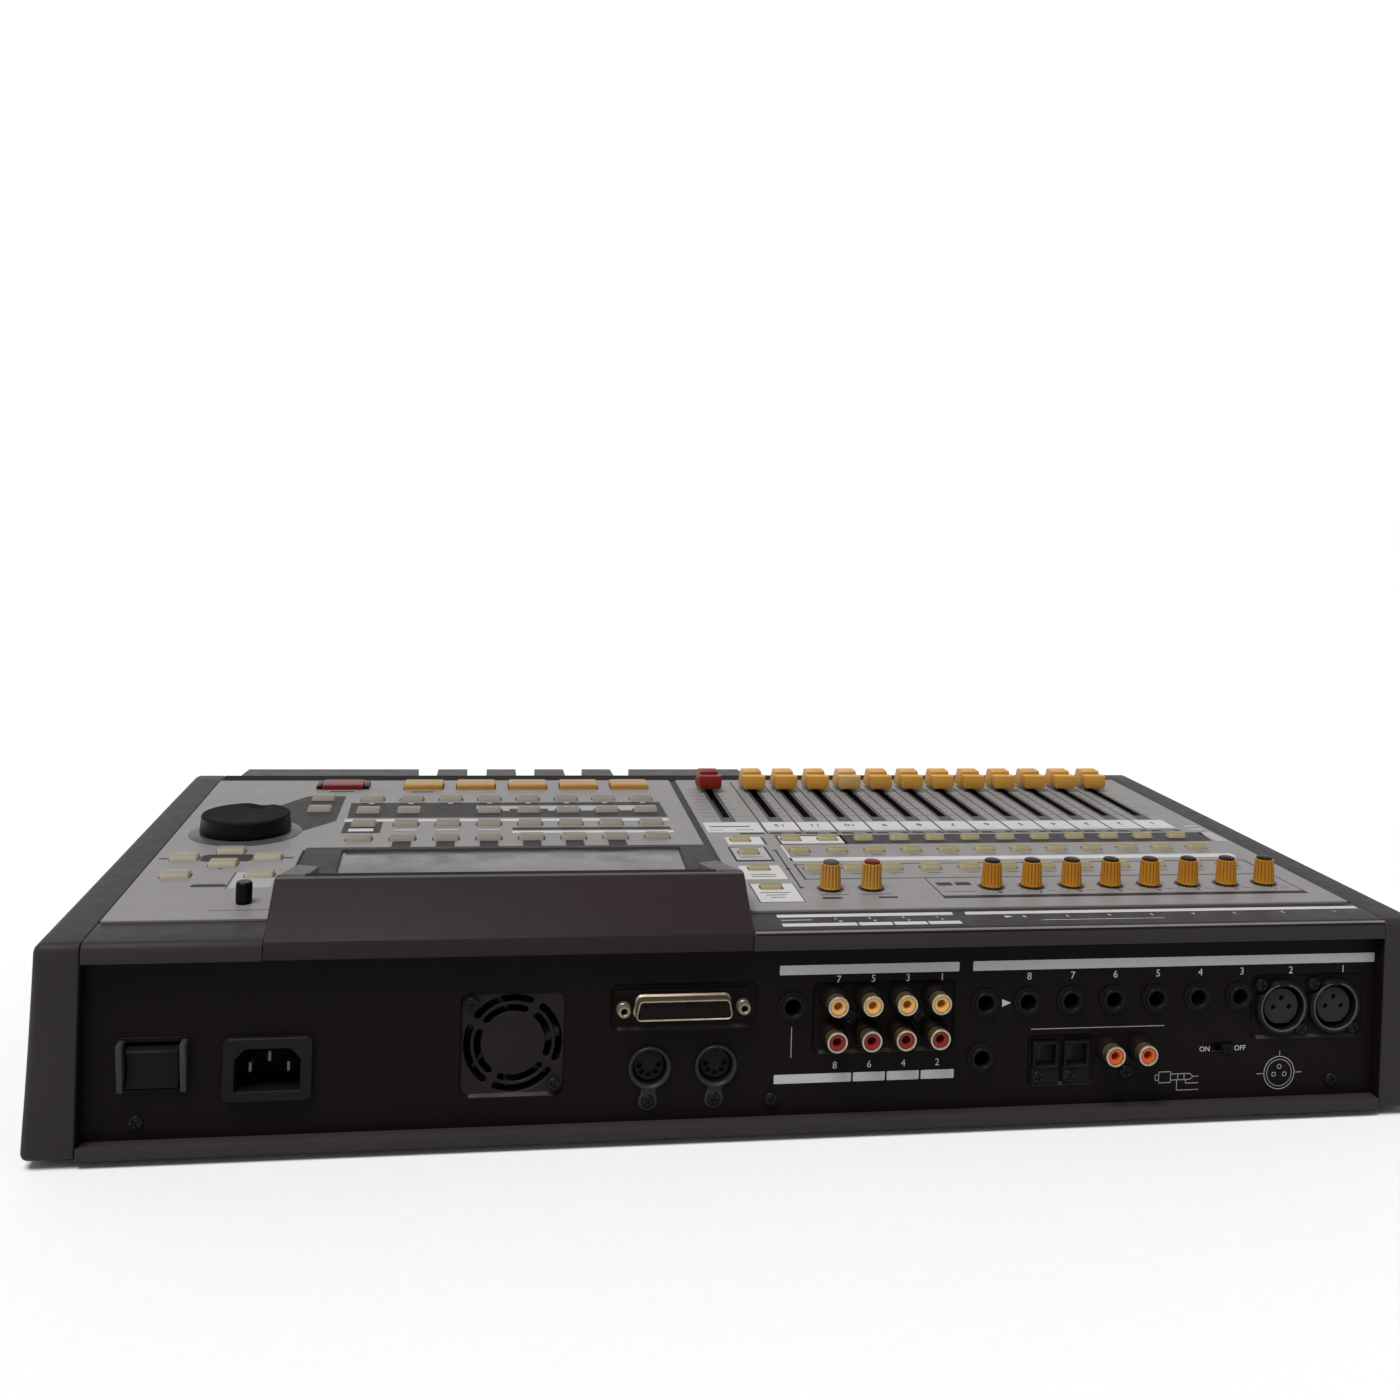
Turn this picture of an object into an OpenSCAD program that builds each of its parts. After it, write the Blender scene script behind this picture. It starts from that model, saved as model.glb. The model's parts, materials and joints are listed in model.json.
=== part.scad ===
// Desktop digital multitrack recorder: a wide, low console with a light grey
// control deck between two dark cheeks, a raised display moulding at the back
// edge and a recessed connector panel behind.
// +X is the user's right, +Y the rear, +Z up; the origin is on the table under
// the middle of the case.

/* [Case] */
// Overall width over the two side cheeks
body_w = 556; // [552:1:560]
// Overall depth, front nose to the tips of the rear sockets
body_d = 333; // [332:1:336]
// Height of the rubber feet
foot_h = 3; // [2.5:0.5:3.5]
// Height of the dark deck above the table
deck_z = 82.5; // [82:0.5:83]
// Half width of the rear recess between the cheeks
recess_half = 258.9; // [258.6:0.1:260]
// Depth of the rear recess
recess_depth = 6.1; // [5.5:0.1:6.5]
// How far the case's rear edge stands in front of the socket tips
socket_proud = 3; // [2.5:0.5:3.5]
// Wall thickness of the dark top shell
shell_t = 3; // [2.5:0.5:3]

/* [Deck panels] */
// How far the light panels stand above the dark deck
panel_proud = 1; // [0.5:0.5:1]
// Rear edge of the panels
panel_rear = 139.3; // [138:0.1:142]
// Front edge of the panels
panel_front = -101; // [-102:0.5:-100]
// Half width of the pair of panels
panel_half = 258.2; // [257:0.1:258.2]
// Centre of the dark divider between the panels
divider_x = 9.7; // [9.5:0.1:9.9]
// Width of the dark divider
divider_w = 3.6; // [3:0.2:4]

/* [Display] */
// Right end of the display moulding (user's right)
hump_x1 = 195; // [194:0.5:196]
// Left end of the display moulding
hump_x0 = 10.2; // [10:0.1:10.6]
// Front edge of the display moulding
hump_front = 41; // [40.5:0.5:42]
// Overall height at the rim of the display moulding
hump_z = 98.7; // [98:0.1:102]

/* [Faders] */
// Spacing of the channel strips
strip_pitch = 18.19; // [18:0.01:18.3]
// First channel strip (nearest the middle)
strip_x = -32.2; // [-32.4:0.1:-32]
// Master fader position
master_x = -7.6; // [-7.8:0.1:-7.4]
// Travel of the faders
fader_travel = 60; // [58:1:60]
// Place of the fader blades at their front stop
fader_y = -76.5; // [-77:0.5:-76]

/* [Knobs and dial] */
// Radius of the jog dial
dial_r = 20.7; // [20:0.1:21]
// Row of the rotary knobs
knob_y = 111.5; // [111:0.5:112]
// Radius of the knobs at the foot
knob_r = 4.6; // [4.4:0.1:5]
// Height of the knobs above the panel
knob_h = 12.4; // [11:0.2:13]

/* [Keys] */
// Height of the transport keys above the panel
key_h = 2.5; // [2:0.1:2.8]
// Height of the small keys above the panel
small_key_h = 2.1; // [1.5:0.1:2.5]
// Gap around each key in the panel
key_gap = 0.4; // [0.35:0.05:0.5]

/* [Hidden] */

$fn = 48;
e = 0.05;

dark = [0.27, 0.26, 0.26];
black = [0.07, 0.06, 0.06];
light = [0.72, 0.70, 0.68];
hump_c = [0.23, 0.19, 0.19];
ivory = [0.80, 0.77, 0.62];
amber = [0.83, 0.61, 0.22];
red = [0.55, 0.12, 0.10];
metal = [0.70, 0.68, 0.62];
brass = [0.80, 0.68, 0.40];
green = [0.10, 0.32, 0.18];

base_z = foot_h;
front_y = -body_d / 2;
tip_y = body_d / 2;
yr = tip_y - socket_proud;
yp = yr - recess_depth;
panel_t = 2;
plate_t = 2;
lip_z = base_z + 4.6;
band_z = base_z + 72;
in_x = recess_half - 0.2;
panel_z = deck_z + panel_proud;
panel_b = panel_z - panel_t;
cheek_x = recess_half + 0.2;
half_w = body_w / 2;

// ---- side profile of the case, inset by d ----
nose_r = 15;
nose_c = [front_y + nose_r, 50];
slope_p = [-118, deck_z];
slope_v = slope_p - nose_c;
slope_a = atan2(slope_v[1], slope_v[0]) + acos(nose_r / norm(slope_v));
slope_n = [cos(slope_a), sin(slope_a)];
rear_r = 3.5;
function prof(d) = concat(
  [[yr - d, base_z + d]],
  [for (a = [0:15:90]) [yr - rear_r + (rear_r - d) * cos(a), deck_z - rear_r + (rear_r - d) * sin(a)]],
  [slope_p - d * ([0, 1] + slope_n) / (1 + slope_n[1])],
  [for (i = [0:6]) let (a = slope_a + (180 - slope_a) * i / 6) nose_c + (nose_r - d) * [cos(a), sin(a)]],
  [for (a = [180:15:270]) [front_y + 6 + (6 - d) * cos(a), base_z + 6 + (6 - d) * sin(a)]]);

module side_extrude(x0, x1) {
  translate([x0, 0, 0]) rotate([90, 0, 90]) linear_extrude(x1 - x0) children();
}

module bar(x0, x1, y0, y1, z0, z1) {
  translate([x0, y0, z0]) cube([x1 - x0, y1 - y0, z1 - z0]);
}

module rrect(w, d, r) {
  square([w - 2 * r, d], center = true);
  square([w, d - 2 * r], center = true);
  for (sx = [-1, 1], sy = [-1, 1])
    translate([sx * (w / 2 - r), sy * (d / 2 - r)]) circle(r, $fn = 24);
}

// round hole or boss along the rear axis, from y0 to y1
module ycyl(x, z, r, y0, y1, f = 48) {
  translate([x, y0, z]) rotate([-90, 0, 0]) cylinder(r = r, h = y1 - y0, $fn = f);
}

module ybox(x, z, w, h, y0, y1) {
  translate([x - w / 2, y0, z - h / 2]) cube([w, y1 - y0, h]);
}

// ---- places ----
strips = [for (i = [0:11]) strip_x - strip_pitch * i];
sens_pitch = 18.35;
sens = [for (i = [0:7]) -105 - sens_pitch * i];
level_x = [strip_x - 0.3, strip_x - strip_pitch - 0.3];
dial_p = [226.5, 9.5];
contrast_p = [209, 119.7];
col = [for (i = [0:7]) 173.1 - 20.1 * i];
row_y = [-55.2, -29.7, -3.2, 23.8];
row_a = 30.1;
row_b = 50.9;
row_c = 81.3;
key_w = 11.8;
key_d = 7;
ch_w = 9.2;
ch_d = 5.6;
trans_x = [for (i = [0:4]) 148.3 - 28.05 * i];
trans_y = -85.7;
rec_p = [191, trans_y];
locators = concat(
  [for (x = col) [x, row_y[0]]],
  [for (i = [0, 1, 3, 4, 5, 6, 7]) [col[i], row_y[1]]],
  [for (x = col) [x, row_y[2]]],
  [[198, -57], [197.4, -33]]);
functions = [for (x = col) [x, row_y[3]]];
cross_p = [226.8, 56.5];
cursors = [[cross_p[0], 43.9], [cross_p[0] + 18, 54.5], [cross_p[0] - 17.5, 54.5], [cross_p[0], 64.2],
  [243, 81.1], [208.8, 81.1]];
channels = concat(
  [for (x = strips) [x, row_a]], [for (x = strips) [x, row_b]], [for (x = strips) [x, row_c]]);
monitors = [for (y = [30.5, 53.4, 79.6, 108.2]) [-7.2, y]];

// rear sockets: x, z
ac_p = [192.5, 33];
sw_p = [233.6, 35.2];
fan_p = [102, 39];
dsub_p = [36.5, 52.4];
din_p = [[48.9, 28.4], [22.8, 28.4]];
jack_z = 50.4;
jacks = concat([[-7.2, jack_z + 0.4], [-86.7, jack_z], [-85.8, 28]],
  [for (i = [0:5]) [-104.6 - 18.47 * i, jack_z]]);
rca_top = 53.2;
rcas = concat([for (i = [0:3], k = [0, 1]) [-23.9 - 14 * i, rca_top - 14 * k]],
  [[-139.9, 30], [-153.9, 30]]);
opt_p = [[-113.4, 28.2], [-126.6, 28.2]];
ph_p = [-190.5, 28.5];
xlr_p = [[-216.5, 45.3], [-240.2, 45.3]];
plate_screws = [[239.3, 14], [0.2, 14.1], [-240.2, 14]];
fan_screws = [for (s = [-1, 1]) [fan_p[0] + 16 * s, fan_p[1] + 16 * s]];
din_screws = [for (p = din_p) [p[0] + 0.4, 15.2]];
rca_screws = [[-30.9, 46.2], [-58.9, 46.2], [-148.2, 20.2]];
xlr_screws = [for (p = xlr_p, s = [-1, 1]) [p[0] + 9.2 * s, p[1] + 9.2 * s]];
opt_screws = [for (p = opt_p) [p[0] + 3, 19.2]];
rear_screws = concat(plate_screws, fan_screws, din_screws, rca_screws, xlr_screws, opt_screws);
base_screws = [for (sx = [-240, -90, 90, 240], sy = [-142, 150]) [sx, sy]];

// ================= case =================
module bottom_cover() {
  color(dark) difference() {
    union() {
      intersection() {
        difference() {
          side_extrude(-in_x, in_x) polygon(prof(0));
          side_extrude(-in_x - 1, in_x + 1) polygon(prof(2));
        }
        bar(-in_x, in_x, front_y - 1, yr + 1, base_z - 1, lip_z);
      }
      bar(-in_x, in_x, yp + 0.2, yr, base_z, lip_z);
      for (x = [-240, -90, 60, 150], y = [30, 128])
        translate([x, y, base_z + 1]) cylinder(r = 3, h = 8);
    }
    for (p = base_screws) translate([p[0], p[1], base_z - 1]) cylinder(r = 1.7, h = 5);
    for (i = [0:11]) bar(60 + 6 * i, 63 + 6 * i, -30, 10, base_z - 1, base_z + 3);
  }
}

module cheek_plan(d) {
  r = 20 - d;
  q = 5 - d;
  x1 = half_w - d;
  translate([0, front_y + 20]) square([x1, yr - front_y - 25]);
  translate([0, front_y + d]) square([half_w - 20, yr - front_y - 2 * d]);
  translate([0, yr - 30]) square([half_w - 5, 30 - d]);
  translate([half_w - 20, front_y + 20]) circle(r);
  translate([half_w - 5, yr - 5]) circle(q);
}

module cheek() {
  taper = atan(2.6 / 75);
  difference() {
    intersection() {
      side_extrude(cheek_x, half_w) polygon(prof(0));
      linear_extrude(120) cheek_plan(0);
    }
    translate([half_w, -300, base_z + 5]) rotate([0, -taper, 0]) translate([0, 0, -1]) cube([40, 600, 140]);
    intersection() {
      side_extrude(cheek_x - 1, half_w - 6) polygon(prof(3));
      linear_extrude(120) cheek_plan(4);
    }
  }
}

module right_cheek() { color(dark) cheek(); }
module left_cheek() { color(dark) mirror([1, 0, 0]) cheek(); }

// finger rest: tabs in front of the transport keys
rest_x1 = 250;
rest_x0 = -36;
rest_y = -149;
notch_w = 11.2;
module rest_tab(x0, x1) {
  intersection() {
    side_extrude(x0, x1) polygon([[slope_p[0] + 0.5, deck_z], [rest_y + 4, deck_z - 2.2], [rest_y, deck_z - 4.6],
      [rest_y, deck_z - 14], [slope_p[0] + 0.5, deck_z - 2]]);
    translate([(x0 + x1) / 2, (rest_y + slope_p[0]) / 2 + 6, 0]) linear_extrude(120)
      rrect(x1 - x0, slope_p[0] - rest_y + 12, 4);
  }
}

module panel_plan(g) {
  translate([divider_x + divider_w / 2 - g, panel_front - g])
    square([panel_half - divider_x - divider_w / 2 + 2 * g, hump_front - 0.3 - panel_front + 2 * g]);
  translate([hump_x1 + 1 - g, panel_front - g])
    square([panel_half - hump_x1 - 1 + 2 * g, panel_rear - panel_front + 2 * g]);
}

module mixer_plan(g) {
  translate([-panel_half - g, panel_front - g])
    square([panel_half + divider_x - divider_w / 2 + 2 * g, panel_rear - panel_front + 2 * g]);
}

module top_frame() {
  color(dark) difference() {
    union() {
      difference() {
        side_extrude(-in_x, in_x) polygon(prof(0));
        side_extrude(-in_x - 1, in_x + 1) polygon(prof(shell_t));
        bar(-300, 300, -120, yr + 9, -1, band_z);
        bar(-300, 300, front_y - 9, -100, -1, lip_z + 0.2);
      }
      rest_tab(trans_x[0] + notch_w / 2, rest_x1);
      for (i = [0:3]) rest_tab(trans_x[i + 1] + notch_w / 2, trans_x[i] - notch_w / 2);
      rest_tab(rest_x0, trans_x[4] - notch_w / 2);
    }
    translate([0, 0, panel_b]) linear_extrude(9) panel_plan(0.2);
    for (x = [panel_half - 1, -panel_half - 9]) bar(x, x + 10, panel_front - 0.2, panel_rear + 0.2, panel_b, panel_b + 9);
    translate([0, 0, panel_b]) linear_extrude(9) mixer_plan(0.2);
    translate([0, 0, 70]) linear_extrude(20) panel_plan(-3);
    translate([0, 0, 70]) linear_extrude(20) mixer_plan(-3);
    bar(hump_x0 - 0.2, hump_x1 + 0.2, hump_front - 0.2, yr + 5, 60, 120);
  }
}

module key_holes(list, w, d) {
  for (p = list) translate([p[0] - w / 2 - key_gap, p[1] - d / 2 - key_gap, panel_b - 1])
    cube([w + 2 * key_gap, d + 2 * key_gap, 5]);
}

module transport_panel() {
  color(light) difference() {
    union() {
      translate([0, 0, panel_b]) linear_extrude(panel_t) panel_plan(0);
      translate([dial_p[0], dial_p[1], panel_z - 0.5]) cylinder(r1 = 26.9, r2 = 22, h = 1.4);
    }
    key_holes(locators, key_w, key_d);
    key_holes(functions, key_w, key_d);
    key_holes(cursors, key_w, key_d);
    key_holes([for (x = trans_x) [x, trans_y]], 20.5, 14.5);
    key_holes([rec_p], 21.5, 14.5);
    translate([dial_p[0], dial_p[1], panel_b - 1]) cylinder(r = 4, h = 9);
    translate([contrast_p[0], contrast_p[1], panel_b - 1]) cylinder(r = 3, h = 9);
  }
}

fader_slot = [fader_y - 3.1, fader_y + fader_travel + 3.1];
module mixer_panel() {
  color(light) difference() {
    translate([0, 0, panel_b]) linear_extrude(panel_t) mixer_plan(0);
    for (x = concat(strips, [master_x])) bar(x - 2, x + 2, fader_slot[0], fader_slot[1], panel_b - 1, panel_z + 1);
    key_holes(channels, ch_w, ch_d);
    key_holes(monitors, ch_w, ch_d);
    for (x = concat(sens, level_x)) translate([x, knob_y, panel_b - 1]) cylinder(r = 3.6, h = 5);
  }
}

// ================= display =================
hump_mid = (hump_x0 + hump_x1) / 2;
rim_y = [132, 138];
pocket_z = panel_z + 0.5;
module display_housing() {
  color(hump_c) difference() {
    side_extrude(hump_x0, hump_x1) polygon([[yr, band_z], [yr, deck_z - 0.5], [rim_y[1], hump_z], [rim_y[0], hump_z],
      [69, panel_z + 1], [hump_front, panel_z + 1], [hump_front, panel_z - 4], [hump_front + 8, panel_z - 4],
      [rim_y[1] - 3, panel_z - 4], [rim_y[1] - 3, hump_z - 4.5], [yr - 3, deck_z - 2], [yr - 3, band_z]]);
    // pocket for the display face
    translate([0, 0, pocket_z]) linear_extrude(40) polygon([[hump_x0 - 1, hump_front - 1], [hump_x1 + 1, hump_front - 1],
      [hump_x1 + 1, 70], [hump_x1 - 0.5, 70], [hump_x1 - 11, 86], [hump_x1 - 11, rim_y[0]],
      [hump_x0 + 11, rim_y[0]], [hump_x0 + 11, 86], [hump_x0 + 0.5, 70], [hump_x0 - 1, 70]]);
    // aperture behind the window, and the seat of the window
    bar(30, 173, 50, 110, 60, 120);
    bar(25.8, 177.2, 45.8, 114.2, pocket_z - 2, 120);
  }
}

module display_window() {
  color([0.35, 0.36, 0.38]) translate([101.5, 80, pocket_z - 2]) linear_extrude(2.4) rrect(151, 68, 2);
}

module lcd_module() {
  color([0.5, 0.52, 0.5]) difference() {
    union() {
      bar(24, 179, 46, 114, 73, 79.4);
      bar(30.5, 172.5, 50.5, 109.5, 79, pocket_z - 2.1);
    }
    bar(33, 170, 53, 107, pocket_z - 2.6, 90);
    bar(40, 160, 60, 100, 72, 75);
  }
}

// ================= rear =================
module fan_slots() {
  difference() {
    union() {
      difference() { circle(19.6); circle(16.4); }
      difference() { circle(15); circle(12); }
    }
    for (a = [60, 150]) rotate(a) square([60, 3], center = true);
  }
}

module rear_panel() {
  color(black) difference() {
    bar(-in_x, in_x, yp - plate_t, yp, base_z + 2.1, deck_z - shell_t - 0.2);
    ybox(ac_p[0], ac_p[1], 27.4, 19.9, 0, 200);
    ybox(sw_p[0], sw_p[1], 21.4, 19, 0, 200);
    translate([fan_p[0], 0, fan_p[1]]) rotate([-90, 0, 0]) linear_extrude(200) fan_slots();
    ybox(dsub_p[0], dsub_p[1], 42, 11, 0, 200);
    for (s = [-1, 1]) ycyl(dsub_p[0] + 23.52 * s, dsub_p[1], 1.7, 0, 200);
    for (p = din_p) ycyl(p[0], p[1], 8.3, 0, 200);
    for (p = jacks) ycyl(p[0], p[1], 4.9, 0, 200);
    for (p = rcas) ycyl(p[0], p[1], 4.6, 0, 200);
    for (p = opt_p) ybox(p[0], p[1], 11.2, 11.2, 0, 200);
    for (p = xlr_p) ycyl(p[0], p[1], 10.3, 0, 200);
    ybox(ph_p[0], ph_p[1], 9.6, 4.6, 0, 200);
    for (p = rear_screws) ycyl(p[0], p[1], 1.6, 0, 200);
  }
}

module ac_inlet() {
  w = 24;
  h = 16;
  color(black) union() {
    difference() {
      union() {
        ybox(ac_p[0], ac_p[1], 32.3, 23.7, yp, yp + 2.5);
        ybox(ac_p[0], ac_p[1], 27, 19.5, yp - 22, yp + 0.1);
      }
      translate([ac_p[0], yp - 15, ac_p[1]]) rotate([90, 0, 0]) mirror([0, 0, 1]) linear_extrude(40)
        polygon([[-w / 2, -h / 2], [w / 2, -h / 2], [w / 2, h / 2 - 4], [w / 2 - 4, h / 2], [-w / 2 + 4, h / 2], [-w / 2, h / 2 - 4]]);
    }
    for (k = [[-7, -1], [7, -1], [0, 3]]) ybox(ac_p[0] + k[0], ac_p[1] + k[1], 2, 4, yp - 16, yp - 1);
    for (k = [-7, 0, 7]) ybox(ac_p[0] + k, ac_p[1], 5, 0.8, yp - 30, yp - 21);
  }
}

module switch_bodies() {
  // power switch: flange with guard fins and a hollow body
  color(black) difference() {
    union() {
      ybox(sw_p[0], sw_p[1], 24.6, 21, yp, yp + 1.6);
      ybox(sw_p[0], sw_p[1], 21, 18.6, yp - 20, yp + 0.1);
      for (s = [-1, 1]) translate([sw_p[0] + 11.2 * s - 1.1, 0, sw_p[1]]) rotate([90, 0, 90]) linear_extrude(2.2)
        polygon([[yp, -9.6], [yp + 1.8, -9.6], [yp + 5.8, 9.6], [yp, 9.6]]);
    }
    ybox(sw_p[0], sw_p[1], 19.4, 17.4, yp - 17, yp + 9);
  }
  color(metal) for (k = [-6, 6]) ybox(sw_p[0], sw_p[1] + k, 5, 0.8, yp - 30, yp - 20);
  // slide switch body
  color(metal) difference() {
    ybox(ph_p[0], ph_p[1], 14, 7, yp - plate_t - 8, yp - plate_t);
    ybox(ph_p[0], ph_p[1], 9.6, 4.6, yp - plate_t - 6, yp);
  }
}

rocker_py = yp - 5.4;
module power_rocker() {
  // stands at one stop: tipped by 6 degrees about its pivot
  color([0.05, 0.05, 0.05]) translate([sw_p[0], rocker_py, sw_p[1]]) rotate([-6, 0, 0])
    rotate([90, 0, 90]) union() {
      translate([0, 0, -9.5]) cylinder(r = 1.6, h = 19);
      translate([0, 0, -9.3]) linear_extrude(18.6)
      polygon([[-3, -4], [-3, 4], [2, 7.7], [6.4, 7.6], [8.2, 7.1], [6.6, 3.5], [6, 0], [6.6, -3.5], [8.2, -7.1], [6.4, -7.6], [2, -7.7]]);
    }
}

module phantom_slider() {
  color([0.05, 0.05, 0.05]) union() {
    ybox(ph_p[0] - 2.3, ph_p[1], 4.2, 3.6, yp - 7.6, yp + 1.4);
  }
}

fan_d = 20;
fan_y1 = yp - plate_t - 0.2;
fan_y0 = fan_y1 - fan_d;
module fan_frame() {
  color([0.06, 0.06, 0.07]) difference() {
    union() {
      difference() {
        ybox(fan_p[0], fan_p[1], 40, 40, fan_y0, fan_y1);
        ycyl(fan_p[0], fan_p[1], 19, fan_y0 + 2, fan_y1 + 1);
        difference() {
          ycyl(fan_p[0], fan_p[1], 19, fan_y0 - 1, fan_y1 + 1);
          ycyl(fan_p[0], fan_p[1], 10, fan_y0 - 2, fan_y1 + 2);
          for (a = [0:120:240]) translate([fan_p[0], 0, fan_p[1]]) rotate([0, a, 0]) bar(0, 30, fan_y0 - 2, fan_y0 + 2, -1.5, 1.5);
        }
      }
      ycyl(fan_p[0], fan_p[1], 4, fan_y0 + 1, fan_y0 + 14);
    }
    for (sx = [-1, 1], sz = [-1, 1]) ycyl(fan_p[0] + 16 * sx, fan_p[1] + 16 * sz, 1.8, fan_y0 - 1, fan_y1 + 1);
  }
}

module fan_rotor() {
  color([0.10, 0.10, 0.11]) difference() {
    union() {
      ycyl(fan_p[0], fan_p[1], 9, fan_y0 + 3.5, fan_y1 - 1.5);
      intersection() {
        difference() {
          ycyl(fan_p[0], fan_p[1], 18, fan_y0 + 4, fan_y1 - 2);
          ycyl(fan_p[0], fan_p[1], 8.6, fan_y0, fan_y1);
        }
        for (i = [0:6]) translate([fan_p[0], (fan_y0 + fan_y1) / 2 + 1, fan_p[1]]) rotate([0, i * 360 / 7, 0])
          rotate([40, 0, 0]) translate([8, -9.5, -0.6]) cube([12, 19, 1.2]);
      }
    }
    ycyl(fan_p[0], fan_p[1], 5, fan_y0, fan_y0 + 15);
  }
}

module d_outline(w, h, g) {
  polygon([[-w / 2 + g, h / 2], [w / 2 - g, h / 2], [w / 2, h / 2 - g], [w / 2 - 1.6, -h / 2 + g], [w / 2 - 1.6 - g, -h / 2],
    [-w / 2 + 1.6 + g, -h / 2], [-w / 2 + 1.6, -h / 2 + g], [-w / 2, h / 2 - g]]);
}

module dsub_socket() {
  color(metal) difference() {
    union() {
      ybox(dsub_p[0], dsub_p[1], 53, 12.5, yp, yp + 1.2);
      translate([dsub_p[0], yp, dsub_p[1]]) rotate([90, 0, 0]) mirror([0, 0, 1]) linear_extrude(6) mirror([0, 1]) d_outline(38.4, 7.9, 1.5);
      ybox(dsub_p[0], dsub_p[1], 41, 10.6, yp - 12, yp + 0.1);
    }
    for (i = [0:12]) ycyl(dsub_p[0] + (i - 6) * 2.77, dsub_p[1] - 1.42, 0.6, yp - 2, yp + 9, 16);
    for (i = [0:11]) ycyl(dsub_p[0] + (i - 5.5) * 2.77, dsub_p[1] + 1.42, 0.6, yp - 2, yp + 9, 16);
    for (s = [-1, 1]) ycyl(dsub_p[0] + 23.52 * s, dsub_p[1], 1.6, yp - 1, yp + 9);
  }
}

module din_sockets() {
  color(black) for (p = din_p) difference() {
    union() {
      ycyl(p[0], p[1], 8, yp - 3, yp + 1.6);
      ybox(p[0], p[1], 20, 18, yp - 18, yp - plate_t);
    }
    ycyl(p[0], p[1], 6.7, yp - 2, yp + 9);
    for (a = [180, 225, 270, 315, 360]) ycyl(p[0] + 3.75 * cos(a), p[1] + 3.75 * sin(a), 0.8, yp - 12, yp, 16);
  }
}

jack_r = 3.25;
module phone_jacks() {
  color(black) for (p = jacks) difference() {
    union() {
      ybox(p[0], p[1], 12, 13, yp - 28, yp - plate_t);
      ycyl(p[0], p[1], 4.6, yp - 3, yp + 2.2);
      ycyl(p[0], p[1], 5.8, yp, yp + 1.2);
    }
    ycyl(p[0], p[1], jack_r, yp - 22, yp + 5);
  }
}

rca_tip = tip_y - yp;
module rca_sockets() {
  color(brass) for (p = rcas) difference() {
    union() {
      ybox(p[0], p[1], 12.6, 12.6, yp - 12, yp - plate_t);
      ycyl(p[0], p[1], 4.15, yp - 3, tip_y);
      ycyl(p[0], p[1], 5.4, yp, yp + 1.2);
    }
    difference() {
      ycyl(p[0], p[1], 3.5, yp + 2, tip_y + 1);
      ycyl(p[0], p[1], 2.9, yp, tip_y - 0.4);
    }
    ycyl(p[0], p[1], 1.65, yp - 8, tip_y + 1, 24);
  }
}

module optical_ports() {
  color(black) for (p = opt_p) difference() {
    union() {
      ybox(p[0], p[1], 10.8, 10.8, yp - 14, yp + 1.2);
      ybox(p[0], p[1] - 4, 12.8, 20, yp - 14, yp - plate_t - 0.1);
    }
    ybox(p[0], p[1], 8.4, 8.4, yp - 5, yp + 9);
    ycyl(p[0], p[1], 1.2, yp - 9, yp, 24);
    ycyl(p[0] + 3, 19.2, 1.6, yp - 8, yp, 24);
  }
}

module xlr_sockets() {
  color(black) for (p = xlr_p) difference() {
    union() {
      ycyl(p[0], p[1], 10, yp - 22, yp + 0.2);
      difference() {
        ycyl(p[0], p[1], 11.4, yp, yp + 2);
        for (s = [-1, 1]) ycyl(p[0] + 9.2 * s, p[1] + 9.2 * s, 3.3, yp - 1, yp + 9);
      }
    }
    difference() {
      ycyl(p[0], p[1], 9.3, yp - 14, yp + 9);
      ycyl(p[0], p[1], 7, yp - 20, yp - 0.5);
    }
    for (a = [90, 184, 356]) ycyl(p[0] + 3.6 * cos(a), p[1] + 3.6 * sin(a), 1.1, yp - 12, yp + 1, 20);
  }
}

// ================= inside =================
module circuit_boards() {
  // main board on the tray's posts
  color(green) difference() {
    union() {
      bar(-250, 160, 20, 138, base_z + 9, base_z + 10.6);
      for (i = [0:5]) bar(-220 + 50 * i, -192 + 50 * i, 40, 68, base_z + 10.5, base_z + 13);
      for (i = [0:7]) bar(-225 + 40 * i, -212 + 40 * i, 84, 104, base_z + 10.5, base_z + 12.5);
      bar(70, 84, 30, 100, base_z + 10.5, base_z + 18);
    }
    for (x = [-240, -90, 60, 150], y = [30, 128]) translate([x, y, base_z]) cylinder(r = 1.6, h = 30);
  }
  // panel board with a switch under each key
  color(green) difference() {
    union() {
      bar(-252, 252, -97, 137, deck_z - 8.5, deck_z - 6.9);
      for (p = concat(locators, functions, cursors, channels, monitors))
        bar(p[0] - 2, p[0] + 2, p[1] - 2, p[1] + 2, deck_z - 7, deck_z - 3.4);
      for (p = concat([rec_p], [for (x = trans_x) [x, trans_y]]))
        bar(p[0] - 3, p[0] + 3, p[1] - 3, p[1] + 3, deck_z - 7, deck_z - 3.4);
    }
    bar(-240, 1, -92, -2, 60, 100);
    bar(16, 190, 40.5, 160, 60, 100);
    for (x = sens) translate([x, knob_y, 60]) cylinder(r = 3.4, h = 40);
    for (x = level_x) translate([x, knob_y, 60]) cylinder(r = 3.4, h = 40);
    translate([dial_p[0], dial_p[1], 60]) cylinder(r = 3.6, h = 40);
    translate([contrast_p[0], contrast_p[1], 60]) cylinder(r = 3, h = 40);
  }
}

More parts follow.
